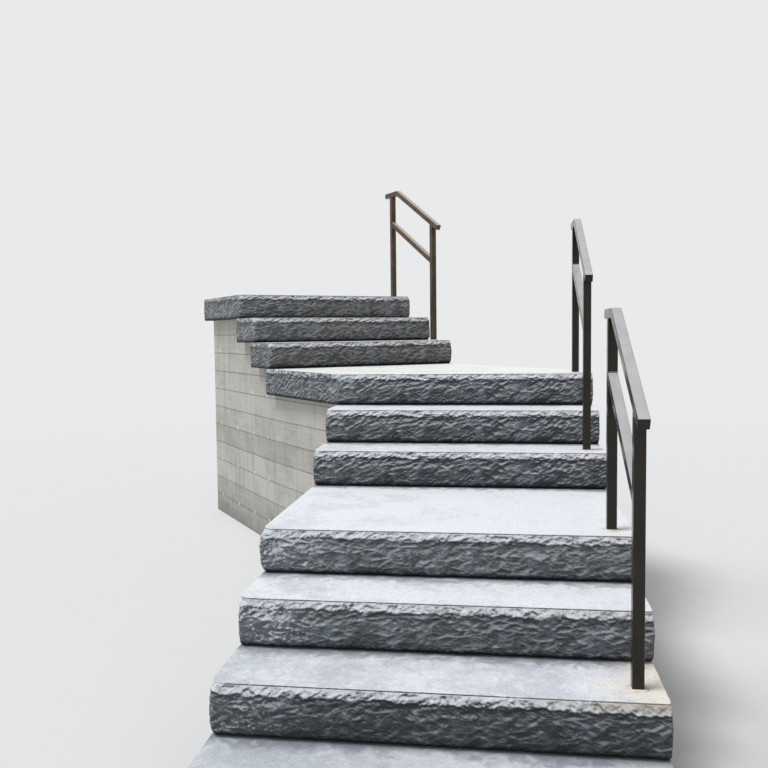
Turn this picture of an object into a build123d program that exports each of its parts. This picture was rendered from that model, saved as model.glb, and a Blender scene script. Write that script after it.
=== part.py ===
from build123d import *
import os
from math import atan2, cos, pi, radians, sin, tan

# Garden stair of rock-faced concrete steps with three steel handrails.
# Millimetres, +Z up. The stair climbs along +Y and swings left above its upper landing.
# The origin is the middle of the bottom step's bearing face, on the ground.

# Stair
riser = 178.0                 # rise of each step, also the thickness of each slab
going = 318.0                 # arris to arris on a plain tread
landing_going = 940.0         # arris to arris on a landing
stair_width = 1450.0          # end to end of a slab, at its top arris
turn_angle = 35.5             # how far the upper flight swings to the left, degrees
turn_setback = 130.0          # from the turning landing's front arris to the turning point
turn_run = 1290.0             # from the turning point to the upper flight's first arris
tail_bearing = 70.0           # how far a slab runs back under the step above
saw_margin = 8.0              # cast past the rear of a slab and sawn off to leave it flat

# Rock face of the slabs, measured outward from the top arris
band_drop = 34.0              # height of the broken band below the arris
band_bulge = 17.0             # how far the band slopes outward
belly_bulge = 20.0            # fullest part of the face
foot_height = 22.0            # height of the undercut above the slab's base
foot_bulge = 12.0             # face at the top of the undercut
undercut = 9.0                # how far the base sits back behind the arris
hewn_depth = 5.0              # wander of the face from facet to facet
long_wander = 610.0           # length of the wander's slow wave along the face
short_wander = 257.0          # and of its quick wave
facet_pitch = 140.0           # length of one hewn facet
end_share = 0.4               # bulge of a slab's ends against its front
corner_break = 52.0           # left front corner knocked off, along each side
corner_nick = 14.0            # right front corner, which is nearly square

# Foundation under the slabs
wall_thickness = 150.0
wall_inset = 60.0             # from the slab's end to the outside of the wall

# Handrails
tube_size = 38.0              # square tube, posts and rails alike
tube_wall = 3.0
tube_corner = 4.0             # outside corner radius of the tube
cap_thickness = 3.0           # plate welded into each open end
post_end_distance = 84.0      # post's centre to the slab's right end
post_arris_distance = 104.0   # post's centre behind the tread's arris
rail_height = 855.0           # top of the level run above its tread
level_run_lead = 102.0        # bend of the rail in front of the rear post's centre
level_run_tail = 95.0         # end of the rail behind the rear post's centre
rail_overhang = 90.0          # end of the rail in front of the front post's centre
mid_rail_height = 612.0       # top of the mid rail at the rear post's near face

# Post seats: cored holes filled with grout
core_diameter = 76.0
core_depth = 120.0
core_clearance = 0.3          # grout to the wall of the core
post_embedment = 108.0

STRAIGHT_STEPS = 7            # the last of these is the turning landing
STEP_COUNT = 10
LANDINGS = (1, 4, 7, 10)
RAILED_FLIGHTS = {"lower": 2, "middle": 5, "upper": 8}   # first step of each

half_width = stair_width / 2
slope = atan2(riser, going)
first_arris = -(landing_going + tail_bearing) / 2
os.makedirs("parts", exist_ok=True)


def arris_y(number):
    """Distance up its own flight to a step's arris, from the origin or the turning point."""
    if number > STRAIGHT_STEPS:
        return turn_run + (number - STRAIGHT_STEPS - 1) * going
    landings = (number > 1) + (number > 4)
    plain_treads = number - 1 - landings
    return first_arris + landings * landing_going + plain_treads * going


turning_y = arris_y(STRAIGHT_STEPS) + turn_setback
upper_plane = Plane(
    origin=(0, turning_y, 0),
    x_dir=(cos(radians(turn_angle)), sin(radians(turn_angle)), 0),
)


def flight_plane(number):
    """Ground plane of the flight that holds a step: X across it and Y up it."""
    return upper_plane if number > STRAIGHT_STEPS else Plane.XY


def side_plane(number, across):
    """Vertical plane along a flight: its X runs up the flight and its Y is height."""
    ground = flight_plane(number)
    return Plane(
        origin=ground.from_local_coords((across, 0, 0)),
        x_dir=ground.y_dir,
        z_dir=ground.x_dir,
    )


def save(part, label):
    """Names a finished piece and writes it."""
    part.label = label
    export_step(part, f"parts/{label}.step")


# Steps

def slab_back(number):
    """Distance up its flight to a slab's flat rear, under the step above."""
    if number == STRAIGHT_STEPS:
        return turn_run + tail_bearing
    if number == STEP_COUNT:
        return arris_y(number) + landing_going
    return arris_y(number) + (landing_going if number in LANDINGS else going) + tail_bearing


def plain_corners(number, margin):
    """Plan of a straight slab, from its left front corner round to its left rear."""
    front = arris_y(number)
    back = slab_back(number) + margin
    return [(-half_width, front), (half_width, front), (half_width, back), (-half_width, back)]


def turning_corners(margin=0.0, inset=0.0, front_setback=0.0):
    """Plan of the landing where the stair swings left, or of a line inside its sides."""
    front = arris_y(STRAIGHT_STEPS) + front_setback
    side = half_width - inset
    kink_y = turning_y + side * tan(radians(turn_angle / 2))
    back = slab_back(STRAIGHT_STEPS) + margin
    back_right = upper_plane.from_local_coords((side, back, 0))
    back_left = upper_plane.from_local_coords((-side, back, 0))
    front_left = Vector(-half_width, arris_y(STRAIGHT_STEPS))
    leaning = Vector(back_left.X, back_left.Y) - front_left
    left_start = front_left + leaning * (front_setback / leaning.Y) + Vector(inset, 0)
    return [
        (left_start.X, front),
        (side, front),
        (side, kink_y),
        (back_right.X, back_right.Y),
        (back_left.X, back_left.Y),
    ]


def meeting_point(point_a, along_a, point_b, along_b):
    """Where two lines in plan cross."""
    cross = along_a.X * along_b.Y - along_a.Y * along_b.X
    gap = point_b - point_a
    return point_a + along_a * ((gap.X * along_b.Y - gap.Y * along_b.X) / cross)


def hewn_wander(distance, seed):
    """How far the face wanders at a place along it: two waves that never fall in step."""
    slow = sin(2 * pi * distance / long_wander + seed)
    quick = sin(2 * pi * distance / short_wander + 2.1 * seed)
    return hewn_depth * (0.6 * slow + 0.4 * quick)


def hewn_outline(corners, shares, bulge, cuts, wander, seed):
    """Plan of a slab at one level: rough sides pushed out and faceted, corners knocked off.

    Each side takes its share of the bulge and of the wander, and a side with no share is smooth.
    """
    count = len(corners)
    starts = [Vector(*corner) for corner in corners]
    alongs = [starts[(i + 1) % count] - starts[i] for i in range(count)]
    outwards = [Vector(along.Y, -along.X).normalized() for along in alongs]
    pushed = [starts[i] + outwards[i] * bulge * shares[i] for i in range(count)]
    turns = [meeting_point(pushed[i - 1], alongs[i - 1], pushed[i], alongs[i]) for i in range(count)]
    points = []
    for side in range(count):
        end = turns[(side + 1) % count]
        run = end - turns[side]
        unit = run.normalized()
        first = cuts[side]
        last = run.length - cuts[(side + 1) % count]
        facets = max(2, round(alongs[side].length / facet_pitch)) if shares[side] else 1
        points.append(turns[side] + unit * first)
        for index in range(1, facets):
            distance = first + (last - first) * index / facets
            push = wander * shares[side] * hewn_wander(distance, seed + side)
            points.append(turns[side] + unit * distance + outwards[side] * push)
        if cuts[(side + 1) % count]:
            points.append(turns[side] + unit * last)
    return [(point.X, point.Y) for point in points]


def post_centre(number):
    """Centre of the handrail post that stands on a tread, in the plan of its flight."""
    return (half_width - post_end_distance, arris_y(number) + post_arris_distance)


def hewn_step(number):
    """Rock-faced slab, lofted from its undercut base up to its tread, with its post's core."""
    top = number * riser
    base = top - riser
    turning = number == STRAIGHT_STEPS
    rear_plane = upper_plane if turning else flight_plane(number)
    rear = rear_plane.from_local_coords((0, slab_back(number), 0))
    corners = turning_corners(saw_margin) if turning else plain_corners(number, saw_margin)
    ends = [end_share, end_share] if turning else [end_share]
    shares = [1.0, *ends, 0.0, end_share]
    levels = [
        (base, -undercut, 0.5, 0.3),
        (base + foot_height, foot_bulge, 0.5, 1.0),
        (base + riser / 2, belly_bulge, 0.45, 1.0),
        (top - band_drop, band_bulge, 0.6, 1.0),
        (top, 0.0, 1.0, 0.1),
    ]
    with BuildPart() as slab:
        for height, bulge, broken, wander in levels:
            cuts = [broken * corner_break, broken * corner_nick] + [0.0] * (len(corners) - 2)
            outline = hewn_outline(corners, shares, bulge, cuts, wander, number)
            with BuildSketch(flight_plane(number).offset(height)):
                with BuildLine():
                    Polyline(*outline, close=True)
                make_face()
        loft(ruled=True)
        split(bisect_by=Plane(rear, z_dir=rear_plane.y_dir), keep=Keep.BOTTOM)
        if any(number in (first, first + 2) for first in RAILED_FLIGHTS.values()):
            with BuildSketch(flight_plane(number).offset(top)):
                with Locations(post_centre(number)):
                    Circle(core_diameter / 2)
            extrude(amount=-core_depth, mode=Mode.SUBTRACT)
    save(slab.part, f"step_{number:02d}")


for number in range(1, STEP_COUNT + 1):
    hewn_step(number)


# Foundation

def wall_start(number):
    """Where the ground under a step begins: behind the tail of the slab below."""
    return arris_y(number) + tail_bearing


def side_wall(first, last, end, side, label):
    """Wall under one end of a flight, its top stepping up from slab to slab."""
    outline = [(wall_start(first), 0)]
    for number in range(first, last + 1):
        finish = end if number == last else wall_start(number + 1)
        outline.append((wall_start(number), (number - 1) * riser))
        outline.append((finish, (number - 1) * riser))
    outline.append((end, 0))
    with BuildPart() as wall:
        with BuildSketch(side_plane(first, side * (half_width - wall_inset))):
            with BuildLine():
                Polyline(*outline, close=True)
            make_face()
        extrude(amount=-side * wall_thickness)
    save(wall.part, label)


def cross_wall(number, near, label):
    """Wall between the two side walls, carrying the slab above it."""
    length = 2 * (half_width - wall_inset - wall_thickness)
    with BuildPart() as wall:
        with BuildSketch(flight_plane(number)):
            with Locations((0, near)):
                Rectangle(length, wall_thickness, align=(Align.CENTER, Align.MIN))
        extrude(amount=(number - 1) * riser)
    save(wall.part, label)


def landing_wall():
    """Closed ring of wall under the turning landing."""
    with BuildPart() as ring:
        with BuildSketch():
            with BuildLine():
                Polyline(*turning_corners(0.0, wall_inset, tail_bearing), close=True)
            make_face()
            offset(amount=-wall_thickness, kind=Kind.INTERSECTION, mode=Mode.SUBTRACT)
        extrude(amount=(STRAIGHT_STEPS - 1) * riser)
    save(ring.part, "foundation_landing")


stair_back = arris_y(STEP_COUNT) + landing_going - wall_inset
for side, hand in ((-1, "left"), (1, "right")):
    side_wall(2, 4, wall_start(5), side, f"foundation_lower_{hand}")
    side_wall(5, 6, wall_start(7), side, f"foundation_middle_{hand}")
    side_wall(8, 10, stair_back, side, f"foundation_upper_{hand}")
cross_wall(2, wall_start(2), "foundation_cross_lower")
cross_wall(5, wall_start(5), "foundation_cross_middle")
cross_wall(STEP_COUNT, stair_back - wall_thickness, "foundation_back")
landing_wall()


# Handrails

def tube_section(size, corner):
    """Square tube outline with rounded corners, in the sketch that is open."""
    RectangleRounded(size, size, corner)


inner_size = tube_size - 2 * tube_wall
inner_corner = tube_corner - tube_wall
rail_x = half_width - post_end_distance


def rail_lines(first):
    """Heights and places of one handrail along its flight, measured at its tube's axis."""
    front_y = post_centre(first)[1]
    rear_y = post_centre(first + 2)[1]
    half = tube_size / 2
    level_z = (first + 2) * riser + rail_height - half
    bend = (rear_y - level_run_lead + half * tan(slope / 2), level_z)
    near_y = front_y - rail_overhang + half * sin(slope)
    near = (near_y, bend[1] - (bend[0] - near_y) * tan(slope))
    return front_y, rear_y, near, bend, (rear_y + level_run_tail, level_z)


def top_rail(first, label):
    """Bent top rail: a mitred hollow tube with a plate in each end."""
    _, _, near, bend, far = rail_lines(first)
    plane = side_plane(first, rail_x)
    back_off = Vector(cos(slope), sin(slope)) * cap_thickness
    inner_near = (near[0] + back_off.X, near[1] + back_off.Y)
    inner_far = (far[0] - cap_thickness, far[1])
    with BuildPart() as rail:
        for ends, size, corner, mode in (
            ((near, far), tube_size, tube_corner, Mode.ADD),
            ((inner_near, inner_far), inner_size, inner_corner, Mode.SUBTRACT),
        ):
            with BuildLine(plane) as route:
                Polyline(ends[0], bend, ends[1])
            start = Plane(origin=route.line @ 0, x_dir=plane.z_dir, z_dir=route.line % 0)
            with BuildSketch(start):
                tube_section(size, corner)
            sweep(path=route.line, transition=Transition.RIGHT, mode=mode)
    save(rail.part, label)


def mid_rail(first, label):
    """Straight rail between the posts, cut upright where it meets them."""
    front_y, rear_y, _, _, _ = rail_lines(first)
    front_face = front_y + tube_size / 2
    rear_face = rear_y - tube_size / 2
    axis_z = (first + 2) * riser + mid_rail_height - tube_size / 2 / cos(slope)
    reach = tube_size
    drop = (rear_face - front_face + reach) * tan(slope)
    low = (front_face - reach, axis_z - drop)
    high = (rear_face + reach, axis_z + reach * tan(slope))
    plane = side_plane(first, rail_x)
    up_flight = plane.x_dir
    with BuildPart() as rail:
        with BuildLine(plane) as route:
            Line(low, high)
        start = Plane(origin=route.line @ 0, x_dir=plane.z_dir, z_dir=route.line % 0)
        with BuildSketch(start):
            tube_section(tube_size, tube_corner)
            RectangleRounded(inner_size, inner_size, inner_corner, mode=Mode.SUBTRACT)
        sweep(path=route.line)
        split(bisect_by=Plane(plane.from_local_coords((front_face, 0, 0)), z_dir=up_flight), keep=Keep.TOP)
        split(bisect_by=Plane(plane.from_local_coords((rear_face, 0, 0)), z_dir=up_flight), keep=Keep.BOTTOM)
    save(rail.part, label)


def post(first, number, label):
    """Upright tube from its grouted seat to the underside of the top rail."""
    _, _, _, bend, _ = rail_lines(first)
    plane = side_plane(first, rail_x)
    tread = number * riser
    foot = tread - post_embedment
    rise = rail_height + riser
    under_slope = Plane(
        plane.from_local_coords((bend[0], bend[1] - tube_size / 2 / cos(slope), 0)),
        z_dir=plane.y_dir * cos(slope) - plane.x_dir * sin(slope),
    )
    with BuildPart() as upright:
        with BuildSketch(flight_plane(number).offset(foot)):
            with Locations(post_centre(number)):
                tube_section(tube_size, tube_corner)
        extrude(amount=rise + post_embedment)
        with BuildSketch(flight_plane(number).offset(foot + cap_thickness)):
            with Locations(post_centre(number)):
                tube_section(inner_size, inner_corner)
        extrude(amount=rise + post_embedment, mode=Mode.SUBTRACT)
        if number == first:
            split(bisect_by=under_slope, keep=Keep.BOTTOM)
        else:
            under_level = Plane.XY.offset(tread + rail_height - tube_size)
            split(bisect_by=under_level, keep=Keep.BOTTOM)
    save(upright.part, label)


def grout_seat(number, label):
    """Plug of grout that fills a core round the post's foot, level with the tread."""
    tread = number * riser
    with BuildPart() as seat:
        with BuildSketch(flight_plane(number).offset(tread)):
            with Locations(post_centre(number)):
                Circle(core_diameter / 2 - core_clearance)
        extrude(amount=-core_depth)
        with BuildSketch(flight_plane(number).offset(tread)):
            with Locations(post_centre(number)):
                tube_section(tube_size, tube_corner)
        extrude(amount=-post_embedment, mode=Mode.SUBTRACT)
    save(seat.part, label)


for flight, first in RAILED_FLIGHTS.items():
    for number, place in ((first, "front"), (first + 2, "rear")):
        post(first, number, f"{flight}_rail_{place}_post")
        grout_seat(number, f"{flight}_rail_{place}_seat")
    top_rail(first, f"{flight}_rail_top")
    mid_rail(first, f"{flight}_rail_mid")
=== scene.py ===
import logging
import math
from dataclasses import dataclass, field
from enum import Enum
from typing import Any, Optional, Sequence

import bmesh
import bpy
from mathutils import Matrix, Vector
from mathutils.geometry import delaunay_2d_cdt


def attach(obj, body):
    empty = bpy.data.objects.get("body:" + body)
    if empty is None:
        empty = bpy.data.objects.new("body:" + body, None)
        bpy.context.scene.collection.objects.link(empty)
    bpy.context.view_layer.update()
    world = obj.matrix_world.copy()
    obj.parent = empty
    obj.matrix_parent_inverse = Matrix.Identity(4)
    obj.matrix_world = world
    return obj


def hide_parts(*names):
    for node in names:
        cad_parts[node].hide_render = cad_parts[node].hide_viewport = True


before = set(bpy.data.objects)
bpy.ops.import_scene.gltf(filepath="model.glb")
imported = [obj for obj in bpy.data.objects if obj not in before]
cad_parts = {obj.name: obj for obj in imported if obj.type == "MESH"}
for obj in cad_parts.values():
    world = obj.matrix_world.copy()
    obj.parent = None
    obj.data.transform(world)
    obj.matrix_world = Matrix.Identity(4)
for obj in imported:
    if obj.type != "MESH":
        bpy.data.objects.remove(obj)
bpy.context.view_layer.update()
log = logging.getLogger("garden_stair")

MM = 0.001


# Shared helpers

def linear(hex_colour: str) -> tuple[float, float, float, float]:
    """Turns an sRGB hex colour into the linear colour that a socket takes.

    Args:
        hex_colour: Six hex digits after a hash sign.

    Returns:
        Linear red, green, blue and an alpha of 1.
    """
    parts = [int(hex_colour[i:i + 2], 16) / 255 for i in (1, 3, 5)]
    red, green, blue = (c / 12.92 if c <= 0.04045 else ((c + 0.055) / 1.055) ** 2.4 for c in parts)
    return red, green, blue, 1.0


def add_node(tree: bpy.types.NodeTree, kind: str, wires: Optional[dict] = None, **settings: Any) -> bpy.types.Node:
    """Adds one node to a tree with its settings, values and links.

    Args:
        tree: The tree that gets the node.
        kind: The node's type name.
        wires: Input name or number to a value, a socket, or a node whose first output is meant.
        settings: Properties set on the node before its inputs.

    Returns:
        The new node.
    """
    node = tree.nodes.new(kind)
    for name, value in settings.items():
        setattr(node, name, value)
    for key, value in (wires or {}).items():
        if isinstance(key, int):
            socket = node.inputs[key]
        else:
            socket = next(s for s in node.inputs if s.name == key and s.enabled)
        if isinstance(value, bpy.types.Node):
            value = next(s for s in value.outputs if s.enabled)
        if isinstance(value, bpy.types.NodeSocket):
            tree.links.new(value, socket)
        else:
            socket.default_value = value
    return node


def new_material(name: str) -> tuple[bpy.types.Material, bpy.types.NodeTree, bpy.types.Node]:
    """Makes an empty node material with its shader wired to the output.

    Args:
        name: What the finish is.

    Returns:
        The material, its tree and its Principled shader.
    """
    material = bpy.data.materials.new(name)
    material.use_nodes = True
    tree = material.node_tree
    tree.nodes.clear()
    shader = add_node(tree, "ShaderNodeBsdfPrincipled")
    add_node(tree, "ShaderNodeOutputMaterial", {"Surface": shader})
    return material, tree, shader


def new_piece(name: str, points: Sequence[Sequence[float]], faces: Sequence[Sequence[int]]) -> bpy.types.Object:
    """Makes an object at the origin from points in metres and faces.

    Args:
        name: The piece's name.
        points: Places of the vertices in the frame's metres.
        faces: Vertex numbers of each face, anticlockwise seen from outside.

    Returns:
        The linked object.
    """
    mesh = bpy.data.meshes.new(name)
    mesh.from_pydata([tuple(p) for p in points], [], [tuple(f) for f in faces])
    mesh.update()
    piece = bpy.data.objects.new(name, mesh)
    bpy.context.scene.collection.objects.link(piece)
    return piece


def new_tree(name: str, sockets: Sequence[tuple[str, str, Any]]) -> tuple[bpy.types.NodeTree, bpy.types.Node, bpy.types.Node]:
    """Makes an empty Geometry Nodes tree with named inputs.

    Args:
        name: The tree's name.
        sockets: Name, socket type and default value of each input after the geometry.

    Returns:
        The tree, its group input and its group output.
    """
    tree = bpy.data.node_groups.new(name, "GeometryNodeTree")
    tree.is_modifier = True
    tree.interface.new_socket("Geometry", in_out="INPUT", socket_type="NodeSocketGeometry")
    tree.interface.new_socket("Geometry", in_out="OUTPUT", socket_type="NodeSocketGeometry")
    for label, kind, value in sockets:
        socket = tree.interface.new_socket(label, in_out="INPUT", socket_type=kind)
        if value is not None:
            socket.default_value = value
    return tree, add_node(tree, "NodeGroupInput"), add_node(tree, "NodeGroupOutput")


def grow(piece: bpy.types.Object, tree: bpy.types.NodeTree, values: dict[str, Any]) -> bpy.types.Object:
    """Runs a Geometry Nodes tree on a piece and keeps the result as its plain mesh.

    Args:
        piece: The object whose mesh is the tree's input.
        tree: The tree to run.
        values: Input name to value, for each input that differs from its default.

    Returns:
        The same object with the new mesh and no modifier.
    """
    modifier = piece.modifiers.new("grow", "NODES")
    modifier.node_group = tree
    for item in tree.interface.items_tree:
        if item.item_type == "SOCKET" and item.in_out == "INPUT" and item.name in values:
            modifier[item.identifier] = values[item.name]
    depsgraph = bpy.context.evaluated_depsgraph_get()
    mesh = bpy.data.meshes.new_from_object(
        piece.evaluated_get(depsgraph), preserve_all_data_layers=True, depsgraph=depsgraph
    )
    piece.modifiers.clear()
    old = piece.data
    piece.data = mesh
    mesh.name = piece.name
    bpy.data.meshes.remove(old)
    return piece


def give_attribute(mesh: bpy.types.Mesh, name: str, values: Sequence[Any], kind: str = "FLOAT") -> None:
    """Stores one value at each point of a mesh.

    Args:
        mesh: The mesh that gets the attribute.
        name: The attribute's name.
        values: A number, or a vector for the vector kind, for each point.
        kind: FLOAT or FLOAT_VECTOR.
    """
    layer = mesh.attributes.new(name, kind, "POINT")
    if kind == "FLOAT":
        layer.data.foreach_set("value", list(values))
    else:
        layer.data.foreach_set("vector", [part for value in values for part in value])


# The stair's plan

class Flight(Enum):
    """The three flights, each with the number of its first railed step."""

    LOWER = 2
    MIDDLE = 5
    UPPER = 8


@dataclass(frozen=True)
class StairPlan:
    """Sizes of the stair in metres, and where each step lies in plan."""

    riser: float = 0.178
    going: float = 0.318
    landing_going: float = 0.940
    width: float = 1.450
    tail_bearing: float = 0.070
    turn_angle: float = math.radians(35.5)
    turn_setback: float = 0.130
    turn_run: float = 1.290
    straight_steps: int = 7
    step_count: int = 10
    landings: tuple[int, ...] = (1, 4, 7, 10)
    post_end: float = 0.084
    post_arris: float = 0.104

    def arris(self, number: int) -> float:
        """Distance up its own flight to a step's arris."""
        if number > self.straight_steps:
            return self.turn_run + (number - self.straight_steps - 1) * self.going
        landings = (number > 1) + (number > 4)
        first = -(self.landing_going + self.tail_bearing) / 2
        return first + landings * self.landing_going + (number - 1 - landings) * self.going

    def tread(self, number: int) -> float:
        """Height of a tread."""
        return number * self.riser

    def turning_y(self) -> float:
        """Where on the straight run the upper flight's axis starts."""
        return self.arris(self.straight_steps) + self.turn_setback

    def place(self, turned: bool, across: float, along: float) -> Vector:
        """Turns a place in a flight's own plan into one in the frame's plan.

        Args:
            turned: Whether the place is given in the upper flight's plan.
            across: Metres to the right of the flight's axis.
            along: Metres up the flight.

        Returns:
            The place as a two-part vector.
        """
        if not turned:
            return Vector((across, along))
        c, s = math.cos(self.turn_angle), math.sin(self.turn_angle)
        return Vector((across * c - along * s, self.turning_y() + across * s + along * c))

    def measure(self, turned: bool, point: Vector) -> tuple[float, float]:
        """Across and along of a place, in the straight run's or the upper flight's plan."""
        if not turned:
            return point.x, point.y
        c, s = math.cos(self.turn_angle), math.sin(self.turn_angle)
        up = point.y - self.turning_y()
        return point.x * c + up * s, up * c - point.x * s

    def back(self, number: int) -> float:
        """Distance up the flight to a slab's rear."""
        if number == self.straight_steps:
            return self.turn_run + self.tail_bearing
        if number == self.step_count:
            return self.arris(number) + self.landing_going
        depth = self.landing_going if number in self.landings else self.going
        return self.arris(number) + depth + self.tail_bearing

    def corners(self, number: int) -> list[Vector]:
        """Plan of a slab at its arris, anticlockwise from the left front corner."""
        half = self.width / 2
        turned = number > self.straight_steps
        front, back = self.arris(number), self.back(number)
        if number != self.straight_steps:
            ends = ((-half, front), (half, front), (half, back), (-half, back))
            return [self.place(turned, across, along) for across, along in ends]
        kink = Vector((half, self.turning_y() + half * math.tan(self.turn_angle / 2)))
        return [
            Vector((-half, front)), Vector((half, front)), kink,
            self.place(True, half, back), self.place(True, -half, back),
        ]

    def tread_places(self, number: int, point: Vector) -> tuple[float, float, float]:
        """Where a point of a tread lies, for the tread's finish.

        Args:
            number: The step.
            point: A place in the frame's plan.

        Returns:
            Metres right of the axis, behind the arris, and in front of the riser above.
        """
        across, along = self.measure(number > self.straight_steps, point)
        if number == self.step_count:
            return across, along - self.arris(number), 9.0
        _, next_along = self.measure(number >= self.straight_steps, point)
        return across, along - self.arris(number), self.arris(number + 1) - next_along

    def posts(self) -> list[int]:
        """Steps that carry a handrail post."""
        return [flight.value + up for flight in Flight for up in (0, 2)]

    def post_centre(self, number: int) -> Vector:
        """Centre of the post on a step, in the frame's plan."""
        across = self.width / 2 - self.post_end
        return self.place(number > self.straight_steps, across, self.arris(number) + self.post_arris)


# The liner's pattern

@dataclass(frozen=True)
class RockGrain:
    """One set of shapes in the rock: how long and wide each is, its slant and its lines' width."""

    length: float
    height: float
    lean: float
    line: float = 2.1 * MM

    def cells(self, tree: bpy.types.NodeTree, place: Any) -> bpy.types.Node:
        """Adds places counted in lengths and widths of the shapes, along the slant.

        Args:
            tree: The tree that gets them: a relief's or a material's.
            place: The node or socket that gives the place on the face.

        Returns:
            The node that gives the places.
        """
        turned = add_node(tree, "ShaderNodeVectorRotate", {
            "Vector": place, "Angle": -self.lean}, rotation_type="Z_AXIS")
        return add_node(tree, "ShaderNodeVectorMath", {
            0: turned, 1: (1 / self.length, 1 / self.height, 1.0)}, operation="MULTIPLY")

    def ledges(self, tree: bpy.types.NodeTree, place: Any) -> bpy.types.Node:
        """Adds gentle slopes that each end in a sharp curved step, here and there.

        Args:
            tree: The tree that gets them.
            place: The node or socket that gives the place on the face.

        Returns:
            The node whose output is 0 at a step's foot and up to 1 at its edge.
        """
        fall, count = 0.16, 9.0
        cells = self.cells(tree, place)
        swell = add_node(tree, "ShaderNodeTexNoise", {"Vector": cells, "Scale": 1.0, "Detail": 1.0})
        steps = add_node(tree, "ShaderNodeMath", {
            0: add_node(tree, "ShaderNodeMath", {
                0: swell.outputs["Fac"], 1: count}, operation="MULTIPLY")}, operation="FRACT")
        rise = add_node(tree, "ShaderNodeMath", {0: steps, 1: 1 - fall}, operation="DIVIDE")
        drop = add_node(tree, "ShaderNodeMath", {
            0: steps, 1: -1 / fall, 2: 1 / fall}, operation="MULTIPLY_ADD")
        saw = add_node(tree, "ShaderNodeMath", {0: rise, 1: drop}, operation="MINIMUM")
        shown = add_node(tree, "ShaderNodeMapRange", {
            "Value": add_node(tree, "ShaderNodeSeparateXYZ", {0: swell.outputs["Color"]}).outputs["Y"],
            "From Min": 0.40, "From Max": 0.58, "To Min": 0.15}, interpolation_type="SMOOTHSTEP")
        return add_node(tree, "ShaderNodeMath", {0: saw, 1: shown}, operation="MULTIPLY")

    def folds(self, tree: bpy.types.NodeTree, place: Any) -> tuple[bpy.types.Node, list[bpy.types.Node]]:
        """Adds crumpled folds, with sharp backs and sharp valleys that cross each other.

        Args:
            tree: The tree that gets them.
            place: The node or socket that gives the place on the face.

        Returns:
            The node of their height, about minus a half in a valley to a half on a back, and
            the nodes that are 1 on a thin line along each valley and each back.
        """
        noise = add_node(tree, "ShaderNodeTexNoise", {
            "Vector": self.cells(tree, place), "Scale": 1.0, "Detail": 1.0, "Roughness": 0.45})
        swell = add_node(tree, "ShaderNodeSeparateXYZ", {0: noise.outputs["Color"]})
        shown = add_node(tree, "ShaderNodeMapRange", {
            "Value": swell.outputs["Z"], "From Min": 0.44, "From Max": 0.56})
        creases, lines = [], []
        for axis in ("X", "Y"):
            crease = add_node(tree, "ShaderNodeMath", {
                0: add_node(tree, "ShaderNodeMath", {
                    0: swell.outputs[axis], 1: 0.5}, operation="SUBTRACT")}, operation="ABSOLUTE")
            line = add_node(tree, "ShaderNodeMapRange", {
                "Value": crease, "From Min": self.line * 0.5 / self.height, "From Max": 0.0})
            creases.append(crease)
            lines.append(add_node(tree, "ShaderNodeMath", {0: line, 1: shown}, operation="MULTIPLY"))
        both = add_node(tree, "ShaderNodeMath", {0: creases[0], 1: creases[1]}, operation="SUBTRACT")
        return add_node(tree, "ShaderNodeMath", {0: both, 1: 3.2}, operation="MULTIPLY"), lines

    def chips(self, tree: bpy.types.NodeTree, place: Any) -> bpy.types.Node:
        """Adds shallow scoops, each with a sharp rim that it shares with the next one.

        Args:
            tree: The tree that gets them.
            place: The node or socket that gives the place on the face.

        Returns:
            The node of their height, from 0 in a scoop up to 1 on a rim.
        """
        cells = self.cells(tree, place)
        rim = add_node(tree, "ShaderNodeTexVoronoi", {"Vector": cells, "Scale": 1.0},
                       voronoi_dimensions="2D", feature="DISTANCE_TO_EDGE")
        kind = add_node(tree, "ShaderNodeTexNoise", {"Vector": cells, "Scale": 0.5, "Detail": 3.0})
        shown = add_node(tree, "ShaderNodeMapRange", {
            "Value": kind.outputs["Fac"], "From Min": 0.42, "From Max": 0.56, "To Min": 0.10})
        height = add_node(tree, "ShaderNodeMapRange", {
            "Value": rim.outputs["Distance"], "From Min": 0.30, "From Max": 0.0})
        return add_node(tree, "ShaderNodeMath", {0: height, 1: shown}, operation="MULTIPLY")


LEDGES = RockGrain(150 * MM, 62 * MM, math.radians(26))
CREASES = RockGrain(84 * MM, 42 * MM, math.radians(-12))
FOLDS = RockGrain(96 * MM, 44 * MM, math.radians(24))
CHIPS = RockGrain(64 * MM, 30 * MM, math.radians(4))
FLAKES = RockGrain(34 * MM, 15 * MM, math.radians(-24))
SLASHES = RockGrain(150 * MM, 32 * MM, math.radians(34), 3.6 * MM)


# Finishes

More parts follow.
